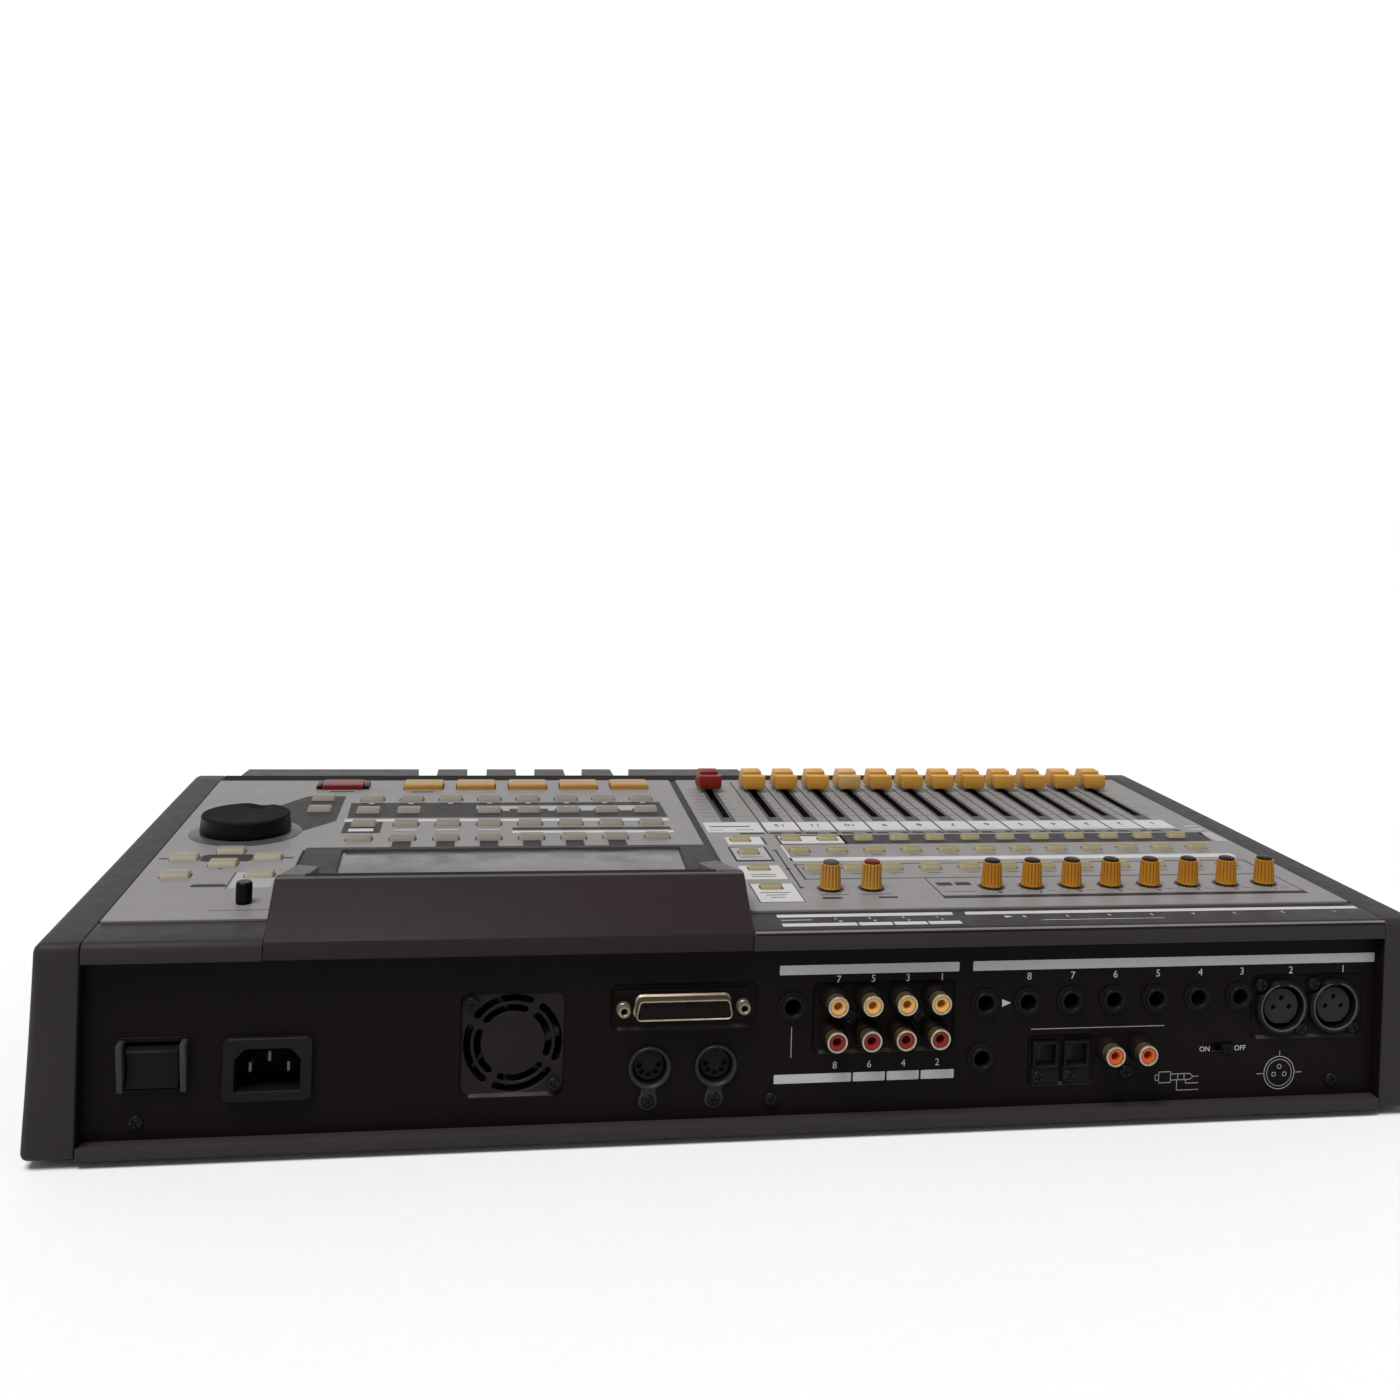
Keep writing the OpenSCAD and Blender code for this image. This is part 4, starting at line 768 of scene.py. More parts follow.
# ---------------------------------------------------------------- display hood, bezel and window
HX0, HX1 = 10.2, 195.0
TOP = 98.6


WIN_HOLE = soft_poly([(25.0, 45.8), (178.0, 45.8), (176.4, 114.2), (26.6, 114.2)], 2.0, 5)


def shoulder_z(y):
    return 84.5 + (y - 69.0) * (TOP - 84.5) / 63.0


bm = bmesh.new()
xbox(bm, [(YR, BAND), (YR, 82.0), (138.0, TOP - 0.3), (132.0, TOP - 0.3), (132.0, 79.5), (160.5, 79.5), (160.5, BAND)], HX0, HX1, 0.6, 3)
# the two shoulders, in the lighter copy of the hood plastic: painted light
for sx in (1, -1):
    xo = HX1 if sx > 0 else HX0
    xi = lambda d: xo - sx * d
    plan = [(xi(0), 69.6), (xi(0), 137.0), (xi(11), 137.0), (xi(11), 86.0), (xi(0.6), 69.6)]
    top = [(q[0], q[1], shoulder_z(min(q[1], 132.0))) for q in plan]
    bot = [(q[0], q[1], 79.5) for q in plan]
    n = len(plan)
    bevelled(bm, bot + top, [tuple(range(n))[::-1], tuple(range(n, 2 * n))] + [(i, (i + 1) % n, n + (i + 1) % n, n + i) for i in range(n)], 0.5, 2, 1)
# the bead along the rim, in the lighter copy of the hood plastic: painted highlight
xbox(bm, [(138.35, TOP - 1.0), (138.2, TOP - 0.25), (137.8, TOP), (136.6, TOP + 0.06), (136.3, TOP - 0.9)], HX0 + 0.3, HX1 - 0.3, 0.2, 2, 1)
ob = piece("display_hood", bm, [hood_m, hood_lit_m], "chassis", "display_housing")

# painted shade: a near-black strip on the rim top stands for the shadowed pocket behind the rim
bm = bmesh.new()
box(bm, HX0 + 11.2, HX1 - 11.2, 132.1, 136.5, TOP - 0.6, TOP - 0.1, 0.03, 1)
piece("hood_rim_shade_strip", bm, hole_m, "chassis")

bm = bmesh.new()
plan = [(HX0 + 0.2, 41.0), (HX1 - 0.2, 41.0), (HX1 - 0.2, 70.2), (HX1 - 10.8, 86.2), (HX1 - 10.8, 132.2), (HX0 + 10.8, 132.2), (HX0 + 10.8, 86.2), (HX0 + 0.2, 70.2)]
sheet(bm, plan, [{"loop": WIN_HOLE, "c": 0.9}], 79.5, 84.4, 0.4, 0.5)
piece("display_surround", bm, bezel_m, "chassis")

bm = bmesh.new()
rings = []
for h, d in ((82.0, 0.3), (82.1, 0.05), (82.3, 0.0), (83.5, 0.0), (83.75, 0.1), (83.8, 0.35)):
    rings.append(lift(offset(WIN_HOLE, -0.15 - d), h))
loft(bm, rings)
piece("display_pane", bm, window_m, "chassis", "display_window")

bm = bmesh.new()
box(bm, 24.0, 179.0, 46.0, 114.0, 73.0, 79.4, 0.4, 2)
box(bm, 30.5, 172.5, 50.5, 109.5, 79.0, 81.2, 0.3, 2)
for k in range(2):
    for i in range(24):
        x = 40 + i * 5.2
        box(bm, x, x + 4.0, 60 + 26 * k, 82 + 16 * k, 81.1, 81.3, 0.05, 1, 1)
piece("display_cells", bm, [lcd_m, surface("lcd_segments", (0.07, 0.085, 0.075), rough=0.3, cloud=90)], "chassis", "lcd_module")

# ---------------------------------------------------------------- rear plate with pressed recesses
D = 1.0


def recess(x0, x1, z0, z1, r=2.0):
    """A loop in the plate's own plane: u runs to the right as the plate is seen, v up."""
    return rr(x1 - x0, z1 - z0, r, 5, -(x0 + x1) / 2, (z0 + z1) / 2)


def uv(loop):
    return [(-p[0], p[1]) for p in loop]


def ycircle(p, r, n=40):
    return circle(r, n, -p[0], p[1])


def ybox(p, w, h, r=0.5):
    return rr(w, h, r, 3, -p[0], p[1])


PRESS = {
    "fan": (FAN[0] - 19.3, FAN[0] + 19.3, FAN[1] - 19.2, FAN[1] + 19.2, 3.0),
    "dsub": (7.6, 64.0, 44.2, 60.2, 2.2),
    "phono": (-73.4, -16.4, 32.6, 59.0, 2.2),
    "optical": (-134.0, -106.6, 16.6, 35.4, 1.6),
    "xlr": (-253.2, -203.6, 33.0, 58.0, 2.2),
}
holes = [{"loop": recess(*v), "c": D} for v in PRESS.values()]
holes += [ybox(AC, 27.4, 19.9), ybox(SWITCH, 21.4, 19.0), ybox(PHANTOM, 9.6, 4.6)]
holes += [ycircle(p, 8.3) for p in DIN] + [ycircle(p, 4.9) for p in JACKS] + [ycircle(p, 4.6) for p in COAX]
bm = bmesh.new()
M0 = rear(0, 0, 0)
sheet(bm, rect(-IN_X, IN_X, BASE + 2.1, DECK - 3.2), holes, YP - 2, YP, 0.2, 0.18, 0, M0)


def fan_loops():
    out = []
    for r0, r1 in ((12.3, 14.9), (16.2, 18.9)):
        rm, h = (r0 + r1) / 2, (r1 - r0) / 2
        for q in range(4):
            c0 = math.radians(30 + 90 * q) + math.asin((1.4 + h) / rm)
            c1 = math.radians(120 + 90 * q) - math.asin((1.4 + h) / rm)
            pts = [(r1 * math.cos(c0 + (c1 - c0) * i / 14), r1 * math.sin(c0 + (c1 - c0) * i / 14)) for i in range(15)]
            pts += [(rm * math.cos(c1) + h * math.cos(c1 + math.pi * i / 6), rm * math.sin(c1) + h * math.sin(c1 + math.pi * i / 6)) for i in range(1, 6)]
            pts += [(r0 * math.cos(c1 + (c0 - c1) * i / 14), r0 * math.sin(c1 + (c0 - c1) * i / 14)) for i in range(15)]
            pts += [(rm * math.cos(c0) - h * math.cos(c0 + math.pi * i / 6), rm * math.sin(c0) - h * math.sin(c0 + math.pi * i / 6)) for i in range(1, 6)]
            out.append([(-(FAN[0] + p[0]), FAN[1] + p[1]) for p in pts])
    return out


sunk = {
    "fan": fan_loops(),
    "dsub": [ybox(DSUB, 42, 11, 1.0)],
    "phono": [ycircle(p, 4.6) for p in PHONO],
    "optical": [ybox(p, 11.2, 11.2, 0.4) for p in OPTICAL],
    "xlr": [ycircle(p, 10.3) for p in XLR],
}
for k, v in PRESS.items():
    x0, x1, z0, z1, r = v
    e = 0.4 if k != "fan" else 0.6
    # the fan's pressed area takes the lighter copy of the plate paint: painted light
    sheet(bm, recess(x0 - e, x1 + e, z0 - e, z1 + e, r), sunk[k], YP - 1.96, YP - D, 0, 0.3 if k == "fan" else 0.15, 1 if k == "fan" else 0, M0)
    # painted highlight: a lighter strip along the lower edge of each recess, where the upward-facing lip catches the
    # light
    xbox(bm, [(YP - D - 0.02, z0 + 0.08), (YP + 0.03, z0 - D + 0.03), (YP + 0.03, z0 - D - 0.12), (YP - D - 0.02, z0 - 0.1)], x0 + r, x1 - r, 0, 1, 2)
piece("rear_plate", bm, [steel_b, grille_lit_m, recess_highlight_m], "chassis", "rear_panel")

# thin strips in the rear plate's paint on the cheeks' inner walls behind the plate, darkening them
bm = bmesh.new()
for s in (-1, 1):
    box(bm, *sorted((s * 258.72, s * 259.08)), YP - 2, 163.0, 8.0, 74.8, 0.08, 1)
piece("cheek_inner_strips", bm, steel_b, "chassis")

# bars, digits and lines on the rear plate
bm = bmesh.new()


def rink(poly, level=0, mi=0):
    sheet(bm, [(-p[0], p[1]) for p in poly], [], YP - 0.04, YP + 0.03 + 0.03 * level, 0, 0, mi, M0)


def rstroke(p, q, w, mi=0):
    d = (Vector(q) - Vector(p)).normalized()
    n = Vector((-d.y, d.x)) * (w / 2)
    rink([tuple(Vector(p) + n), tuple(Vector(q) + n), tuple(Vector(q) - n), tuple(Vector(p) - n)], 0, mi)


def rtext(s, x, z, size, mi=0):
    text(bm, s, size, rear(x, z, YP + 0.03), mi)


for x0, x1, z0, z1 in ((-75.6, -1.7, 63.2, 67.0), (-258.4, -81.4, 63.2, 67.1), (-32.1, -0.7, 20.0, 23.6),
                       (-46.0, -32.9, 20.0, 23.6), (-60.1, -46.8, 20.0, 23.6), (-74.7, -60.9, 20.0, 23.6)):
    rink(rr(x1 - x0, z1 - z0, 0.4, 3, (x0 + x1) / 2, (z0 + z1) / 2))
for i in range(4):
    rtext(str(7 - 2 * i), -25.8 - 14.25 * i, 61.0, 4.0)
    rtext(str(8 - 2 * i), -25.3 - 14.1 * i, 26.6, 4.0)
for i, x in enumerate((-105.4, -124.0, -142.5, -161.1, -179.8, -198.3, -220.3, -244.1)):
    rtext(str(8 - i), x, 60.4, 4.2)
rtext("ON", -182.9, 28.3, 3.0)
rtext("OFF", -198.6, 28.3, 3.0)
rink([(-94.1, 51.4), (-94.2, 48.3), (-98.0, 49.85)])
rstroke((-106.9, 38.8), (-164.6, 38.7), 0.32, 1)
rstroke((-7.25, 42.5), (-7.35, 30.2), 0.3, 1)
# socket diagram: a ring with three small rings
cx, cz = -216.7, 17.4


def rring(x, z, r, w):
    sheet(bm, [(-p[0], p[1]) for p in circle(r, 36, x, z)], [[(-p[0], p[1]) for p in circle(r - w, 36, x, z)]], YP - 0.04, YP + 0.03, 0, 0, 1, M0)


rring(cx, cz, 7.0, 0.34)
rring(cx, cz, 5.7, 0.25)
for dx, dz in ((0, 2.6), (2.4, -0.6), (-2.4, -0.6)):
    rring(cx + dx, cz + dz, 1.0, 0.28)
for p, q in (((cx + 7.4, cz - 0.2), (cx + 10.2, cz - 0.2)), ((cx - 7.4, cz), (cx - 10.2, cz)), ((cx, cz + 7.2), (cx, cz + 9.2))):
    rstroke(p, q, 0.28, 1)
# plug diagram
for p, q in (((-163.0, 19.4), (-168.2, 19.4)), ((-163.0, 14.9), (-168.2, 14.9)), ((-163.0, 19.4), (-163.0, 14.9)), ((-168.2, 19.4), (-168.2, 14.9)),
             ((-168.2, 18.4), (-176.6, 18.4)), ((-168.2, 15.9), (-176.6, 15.9)), ((-176.6, 18.4), (-178.2, 17.15)), ((-176.6, 15.9), (-178.2, 17.15)),
             ((-171.4, 18.4), (-171.4, 15.9)), ((-174.2, 18.4), (-174.2, 15.9)), ((-163.0, 18.2), (-161.4, 18.2)), ((-163.0, 16.0), (-161.4, 16.0)), ((-161.4, 18.2), (-161.4, 16.0)),
             ((-178.4, 17.15), (-180.6, 17.15)), ((-174.9, 15.9), (-174.9, 14.4)), ((-174.9, 14.4), (-180.6, 14.4)), ((-171.0, 15.9), (-171.0, 11.6)), ((-171.0, 11.6), (-180.6, 11.6))):
    rstroke(p, q, 0.28, 1)
piece("rear_printing", bm, [ink_rear, ink_wire], "chassis")

# ---------------------------------------------------------------- sockets
# mains inlet
bm = bmesh.new()
w, h = 24.0, 16.0
cav = [(-w / 2, -h / 2), (w / 2, -h / 2), (w / 2, h / 2 - 4), (w / 2 - 4, h / 2), (-w / 2 + 4, h / 2), (-w / 2, h / 2 - 4)]
cav = soft_poly(cav, [0.8, 0.8, 0.8, 0.8, 0.8, 0.8], 3)
MA = rear(*AC)
sheet(bm, rr(32.3, 23.7, 2.2, 5), [{"loop": cav, "c": 0.12}], 0, 2.5, 0.3, 0.3, 0, MA)
sheet(bm, rr(27.0, 19.5, 0.8, 3), [offset(cav, -0.06)], -15.0, 1.6, 0, 0, 2, MA)
box(bm, -13.5, 13.5, -9.75, 9.75, -22, -14.9, 0.3, 2, 2, MA)
for u, v in ((-7, -1), (7, -1), (0, 3)):
    box(bm, u - 0.6, u + 0.6, v - 2.0, v + 2.0, -16, -3.0, 0.3, 2, 1, MA)
for u in (-7, 0, 7):
    box(bm, u - 2.5, u + 2.5, -0.4, 0.4, -30, -21, 0.15, 1, 1, MA)
piece("mains_inlet_shell", bm, [black_m, pin_m, hole_m], "chassis", "ac_inlet")

# power switch body, guard posts and slide switch body
bm = bmesh.new()
MS = rear(*SWITCH)
sheet(bm, rr(24.6, 21.0, 0.8, 4), [rr(19.4, 17.4, 0.5, 3)], -0.02, 0.5, 0.2, 0.2, 3, MS)
sheet(bm, rr(21.0, 18.6, 0.6, 3), [rr(19.4, 17.4, 0.5, 3)], -17, 0, 0, 0, 0, MS)
box(bm, -10.5, 10.5, -9.3, 9.3, -20, -16.9, 0.3, 2, 0, MS)
for s in (-1, 1):
    x0 = SWITCH[0] + 11.2 * s
    xbox(bm, [(YP, SWITCH[1] - 9.6), (YP + 1.9, SWITCH[1] - 9.6), (YP + 5.8, SWITCH[1] + 9.6), (YP, SWITCH[1] + 9.6)], x0 - 1.1, x0 + 1.1, 0.35, 2, 1)
for v in (-6, 6):
    box(bm, -2.5, 2.5, v - 0.4, v + 0.4, -30, -20, 0.15, 1, 2, MS)
MP = rear(*PHANTOM)
sheet(bm, rr(14, 7, 0.4, 3), [rr(9.6, 4.6, 0.4, 3)], -8, -2.0, 0.2, 0.2, 2, MP)
box(bm, -6.9, 6.9, -3.4, 3.4, -10, -7.9, 0.2, 1, 2, MP)
piece("switch_shells", bm, [black, guard_m, pot_m, steel_b], "chassis", "switch_bodies")

# rocker, tipped to one stop
bm = bmesh.new()
t = bmesh.new()
face = [(-3, -4), (-3, 4), (2, 7.7), (6.4, 7.6), (8.2, 7.1)]
face += [(6.0 + 2.2 * (v / 7.1) ** 2, v) for v in (5.7, 4.3, 2.9, 1.4, 0, -1.4, -2.9, -4.3, -5.7)]
face += [(8.2, -7.1), (6.4, -7.6), (2, -7.7)]
MR = Matrix.Translation((SWITCH[0], YP - 5.4, SWITCH[1])) @ Matrix.Rotation(math.radians(-6), 4, "X")
prism(bm, face, -9.3, 9.3, 0.35, 2, 0, MR @ SIDE, 32)
lathe(bm, [(1.3, -9.5), (1.6, -9.3), (1.6, 9.3), (1.3, 9.5)], 24, 0, MR @ SIDE)
piece("rocker_shape", bm, black, "power_rocker", "power_rocker")

bm = bmesh.new()
MQ = rear(PHANTOM[0] - 2.3, PHANTOM[1])
box(bm, -2.1, 2.1, -1.8, 1.8, -7.6, 1.4, 0.35, 2, 0, MQ)
for u in (-1.0, 0.0, 1.0):
    box(bm, u - 0.2, u + 0.2, -1.5, 1.5, 1.2, 1.4, 0.06, 1, 0, MQ)
piece("slider_shape", bm, black, "phantom_slider", "phantom_slider")

# D socket
bm = bmesh.new()
MD = rear(*DSUB)


def d_loop(w, h, g, k=1.6):
    return soft_poly([(-w / 2 + k, h / 2), (-w / 2, -h / 2), (w / 2, -h / 2), (w / 2 - k, h / 2)], g, 4)


sheet(bm, rr(53, 12.5, 1.2, 4), [d_loop(36.6, 6.2, 1.3, 1.5)] + [circle(1.55, 20, 23.52 * s, 0) for s in (-1, 1)], -D, 0.2, 0.25, 0.1, 3, MD)
outer, inner = d_loop(38.4, 7.9, 1.9, 1.5), d_loop(37.2, 6.7, 1.3, 1.5)
rim_o, rim_i = d_loop(38.0, 7.5, 1.7, 1.5), d_loop(37.6, 7.1, 1.5, 1.5)
base_o = d_loop(39.8, 9.3, 2.5, 1.5)
first = len(bm.faces)
loft(bm, [lift(inner, -0.5), lift(inner, 5.7), lift(rim_i, 6.0), lift(rim_o, 6.0), lift(outer, 5.6), lift(outer, 1.0), lift(base_o, 0.4), lift(base_o, -0.5)], 0, MD, closed=True)
tint(bm, first, len(outer), (0, 4, 6, 7), 4)
prism(bm, d_loop(37.4, 6.9, 1.4, 1.5), -2.0, 5.2, 0.15, 1, 5, MD)
for n, v in ((13, -1.42), (12, 1.42)):
    for i in range(n):
        u = (i - (n - 1) / 2) * 2.77
        lathe(bm, [(0.85, 5.0), (0.85, 5.26), (0.62, 5.3), (0.6, 5.21), (0, 5.21)], 14, 2, MD @ at(u, v))
box(bm, -20.5, 20.5, -5.3, 5.3, -12, -0.9, 0.3, 1, 1, MD)
piece("d_socket_shell", bm, [shell_m, black, hole_m, steel_b, shell_d, insul_m], "chassis", "dsub_socket")

# round five-hole sockets
bm = bmesh.new()
for p in DIN:
    M = rear(*p)
    lathe(bm, [(6.7, -4.8), (6.7, 0.2), (7.05, 1.0), (7.6, 1.5), (7.95, 1.6), (8.25, 1.3), (8.25, -1.9), (7.0, -4.8)], 56, 1, M, True)
    pins = [(-3.75 * math.cos(math.radians(a)), 3.75 * math.sin(math.radians(a))) for a in (180, 225, 270, 315, 360)]
    sheet(bm, circle(6.0, 56), [circle(1.1, 18, *q) for q in pins], -5.9, -2.0, 0.25, 0.12, 3, M)
    lathe(bm, [(0, -3.2), (5.7, -3.2), (5.7, -5.8), (0, -5.8)], 40, 2, M)
    lathe(bm, [(5.9, -3.6), (6.75, -3.6), (6.75, -5.8), (5.9, -5.8)], 48, 2, M, True)
    lathe(bm, [(6.69, -4.7), (6.69, 0.1), (6.55, 0.0), (6.55, -4.7)], 48, 2, M, True)
    box(bm, -1.2, 1.2, 4.6, 6.1, -5.0, -1.95, 0.1, 1, 2, M)
    box(bm, -10, 10, -9, 9, -18, -5.9, 0.4, 2, 0, M)
    sheet(bm, rr(20, 18, 0.4, 3), [circle(6.9, 40)], -6.0, -2.0, 0, 0, 0, M)
    # lobe that carries the fixing screw
    pts = [(-3.0, -7.2), (-3.4, -10.4)] + [(-0.4 + 3.7 * math.cos(w), -13.2 + 3.7 * math.sin(w)) for w in [math.radians(160 + 22 * i) for i in range(11)]] + [(2.6, -10.4), (3.0, -7.2)]
    prism(bm, ccw(pts), -0.02, 0.45, 0.2, 2, 1, M)
piece("round_socket_shells", bm, [black, socket_m, hole_m, black_m], "chassis", "din_sockets")

# phone jacks
bm = bmesh.new()
for p in JACKS:
    M = rear(*p)
    lathe(bm, [(3.25, -22), (3.25, 1.9), (3.5, 2.2), (4.3, 2.2), (4.6, 1.9), (4.7, 1.1), (5.2, 1.15), (5.6, 1.0), (5.75, 0.7), (5.75, -0.02), (4.8, -0.02), (4.8, -3), (4.8, -22)], 48, 0, M, True)
    rings = []
    for h, r, f in ((0.02, 5.75, 0), (0.2, 5.8, 1), (0.75, 5.8, 1), (0.95, 5.64, 0)):
        rings.append([((r - 0.12 * f * (i % 2)) * math.cos(math.pi * i / 40), (r - 0.12 * f * (i % 2)) * math.sin(math.pi * i / 40), h) for i in range(80)])
    loft(bm, rings, 0, M, caps=(False, False))
    lathe(bm, [(0, -21), (3.3, -21), (3.3, -22.5), (0, -22.5)], 32, 1, M)
    sheet(bm, rr(12, 13, 0.5, 3), [circle(4.7, 32)], -28, -2.0, 0, 0, 0, M)
piece("jack_shells", bm, [black, hole_m], "chassis", "phone_jacks")

# phono sockets
bm = bmesh.new()
tip = TIP - YP
for k, p in enumerate(PHONO + COAX):
    M = rear(*p)
    mi = 4 if k >= 8 else (2 if k % 2 == 0 else 3)
    b = -D if k < 8 else -0.02
    lathe(bm, [(4.2, b), (5.4, b), (5.4, 2.6), (5.0, 4.2), (4.7, 4.5), (4.2, 4.5)], 44, 6, M, True)
    first = len(bm.faces)
    lathe(bm, [(3.3, 1.0), (3.3, tip - 0.5), (3.42, tip - 0.12), (3.62, tip), (3.85, tip), (4.05, tip - 0.14), (4.15, tip - 0.45), (4.15, tip - 1.3), (4.05, tip - 1.5), (4.05, 1.0)], 48, 0, M, True)
    tint(bm, first, 48, (0, 6, 7, 8, 9), 7)
    lathe(bm, [(3.32, 1.0), (3.32, tip - 0.75), (3.1, tip - 0.6), (2.4, tip - 0.6), (1.8, tip - 0.85), (1.65, tip - 1.2), (1.65, 1.0)], 44, mi, M, True)
    lathe(bm, [(0, tip - 5.0), (1.7, tip - 5.0), (1.7, 1.0), (0, 1.0)], 24, mi, M)
    box(bm, -6.3, 6.3, -6.3, 6.3, -12, -2.0, 0.4, 2, 1, M)
    lathe(bm, [(0, 1.2), (4.1, 1.2), (4.1, -3), (0, -3)], 32, 1, M)
piece("phono_shells", bm, [phono_m, black, yellow_i, red_i, orange_i, hole_m, steel_b, barrel_m], "chassis", "rca_sockets")

# optical ports with their hinged shutters
bm = bmesh.new()
for p in OPTICAL:
    M = rear(*p)
    sheet(bm, rr(10.8, 10.8, 0.5, 3), [{"loop": rr(8.4, 8.4, 0.3, 3), "c": 0.5}], -5.2, 1.2, 0.35, 0.3, 0, M)
    sheet(bm, rr(8.5, 8.5, 0.2, 2), [circle(1.2, 20)], -6.0, -4.9, 0, 0.1, 0, M)
    box(bm, -5.4, 5.4, -5.4, 5.4, -14, -5.8, 0.3, 1, 0, M)
    box(bm, -6.4, 6.4, -14, 6, -14, -2.15, 0.3, 1, 0, M)
    prism(bm, rr(11.6, 7.0, 0.8, 3, 0, -8.6), -D, 0.35, 0.25, 2, 0, M)
    prism(bm, [(-4.1, -3.6), (-1.2, -3.6), (-1.2, 1.8), (1.0, 3.9), (-4.1, 3.9)], -2.6, -1.7, 0.2, 1, 1, M)
    for s in (-1, 1):
        box(bm, s * 4.75 - 0.5, s * 4.75 + 0.5, 2.0, 4.6, 1.1, 1.5, 0.15, 1, 0, M)
piece("optical_shells", bm, [black, black_s], "chassis", "optical_ports")

# three-hole microphone sockets
bm = bmesh.new()
for p in XLR:
    M = rear(*p)
    plan = []
    for i in range(96):
        a = 2 * math.pi * i / 96
        r = 11.4
        for s in (-1, 1):
            # clear of the two fixing screws
            d = Vector((r * math.cos(a), r * math.sin(a))) - Vector((-9.2 * s, 9.2 * s))
            if d.length < 4.2:
                r -= (4.2 - d.length) * 0.9
        plan.append((r * math.cos(a), r * math.sin(a)))
    sheet(bm, plan, [{"loop": circle(9.3, 56), "c": 0.5}], -D, 2.0, 0.45, 0.4, 0, M)
    lathe(bm, [(9.3, -14), (9.3, -0.9), (10.0, -0.9), (10.0, -14)], 48, 0, M, True)
    lathe(bm, [(9.35, 1.5), (9.4, 2.05), (9.6, 2.2), (9.9, 2.2), (10.1, 2.05), (10.1, 1.5)], 56, 3, M, True)
    pins = [(3.6 * math.cos(math.radians(a)), 3.6 * math.sin(math.radians(a))) for a in (90, 184, 356)]
    sheet(bm, [(q[0], max(q[1], -7.2)) for q in circle(7.7, 64)], [circle(1.1, 18, *q) for q in pins], -1.4, 0.1, 0.3, 0.12, 1, M)
    lathe(bm, [(0, -1.2), (7.1, -1.2), (7.1, -14), (0, -14)], 48, 2, M)
    lathe(bm, [(0, -14), (10, -14), (10, -22), (0, -22)], 40, 0, M)
    box(bm, -1.5, 1.5, 6.8, 9.35, -6, -0.8, 0.2, 1, 0, M)
    box(bm, -2.2, 2.2, 9.0, 10.9, 1.4, 2.3, 0.3, 2, 0, M)
piece("mic_shells", bm, [black, insert_b, hole_m, lip_m], "chassis", "xlr_sockets")


# ---------------------------------------------------------------- screws
def cross_head():
    """A pan head with a cross recess, standing on its own origin along +Z."""
    t = bmesh.new()
    lathe(t, [(2.7, 0), (2.8, 0.2), (2.75, 0.55), (2.45, 0.95), (1.9, 1.2), (1.1, 1.29), (0, 1.3)], 32)
    bmesh.ops.recalc_face_normals(t, faces=t.faces)
    me = bpy.data.meshes.new("head")
    t.to_mesh(me)
    t.free()
    head = bpy.data.objects.new("head", me)
    t = bmesh.new()
    arms = [(-1.75, -0.33), (-0.33, -0.33), (-0.33, -1.75), (0.33, -1.75), (0.33, -0.33), (1.75, -0.33), (1.75, 0.33), (0.33, 0.33), (0.33, 1.75), (-0.33, 1.75), (-0.33, 0.33), (-1.75, 0.33)]
    prism(t, arms, 0.55, 2.0, 0)
    bmesh.ops.recalc_face_normals(t, faces=t.faces)
    mc = bpy.data.meshes.new("cross")
    t.to_mesh(mc)
    t.free()
    cutter = bpy.data.objects.new("cross", mc)
    for o in (head, cutter):
        bpy.context.scene.collection.objects.link(o)
    b = head.modifiers.new("cut", "BOOLEAN")
    b.operation, b.solver, b.object = "DIFFERENCE", "EXACT", cutter
    dg = bpy.context.evaluated_depsgraph_get()
    res = bpy.data.meshes.new_from_object(head.evaluated_get(dg))
    out = ([v.co.copy() for v in res.vertices], [list(p.vertices) for p in res.polygons])
    for o in (head, cutter):
        bpy.data.objects.remove(o)
    for m in (me, mc, res):
        bpy.data.meshes.remove(m)
    return out


HEAD = cross_head()
bm = bmesh.new()
turn = 0
for group, floor_w in ((PLATE_SCREWS, 0), (FAN_SCREWS, -D), (DIN_SCREWS, 0.4), (PHONO_SCREWS[:2], -D), (PHONO_SCREWS[2:], 0), (XLR_SCREWS, -D), (OPT_SCREWS, 0.3)):
    for p in group:
        turn += 37
        M = rear(*p)
        k = max(0.0, min(floor_w, 0.0))
        add(bm, *HEAD, 0, M @ Matrix.Rotation(math.radians(turn), 4, "Z"))
        lathe(bm, [(2.0, -1.95), (2.72, k - 0.01), (2.72, 0.05), (1.0, 0.06)], 28, 0, M)
for s in (-1, 1):
    M = rear(DSUB[0] + 23.52 * s, DSUB[1])
    lathe(bm, [(1.25, 2.6), (1.25, 5.8), (1.45, 6.0), (2.0, 6.0), (2.35, 5.8), (2.45, 5.4), (2.45, 3.9), (2.7, 3.6), (2.7, 1.3), (2.0, 1.2)], 6 * 6, 1, M, True)
    lathe(bm, [(0, 2.7), (1.3, 2.7), (1.3, -6), (0, -6)], 20, 2, M)
for sx in (-240, -90, 90, 240):
    for sy in (-142, 150):
        M = Matrix.Translation((sx, sy, BASE)) @ Matrix.Rotation(math.pi, 4, "X")
        add(bm, [(v[0] * 1.05, v[1] * 1.05, v[2] * 0.92) for v in HEAD[0]], HEAD[1], 0, M)
        lathe(bm, [(0, 0.05), (1.4, 0.05), (1.4, -3.8), (0, -3.8)], 16, 0, M)
piece("screw_set", bm, [screw_m, nut_m, hole_m], "chassis", "screws")

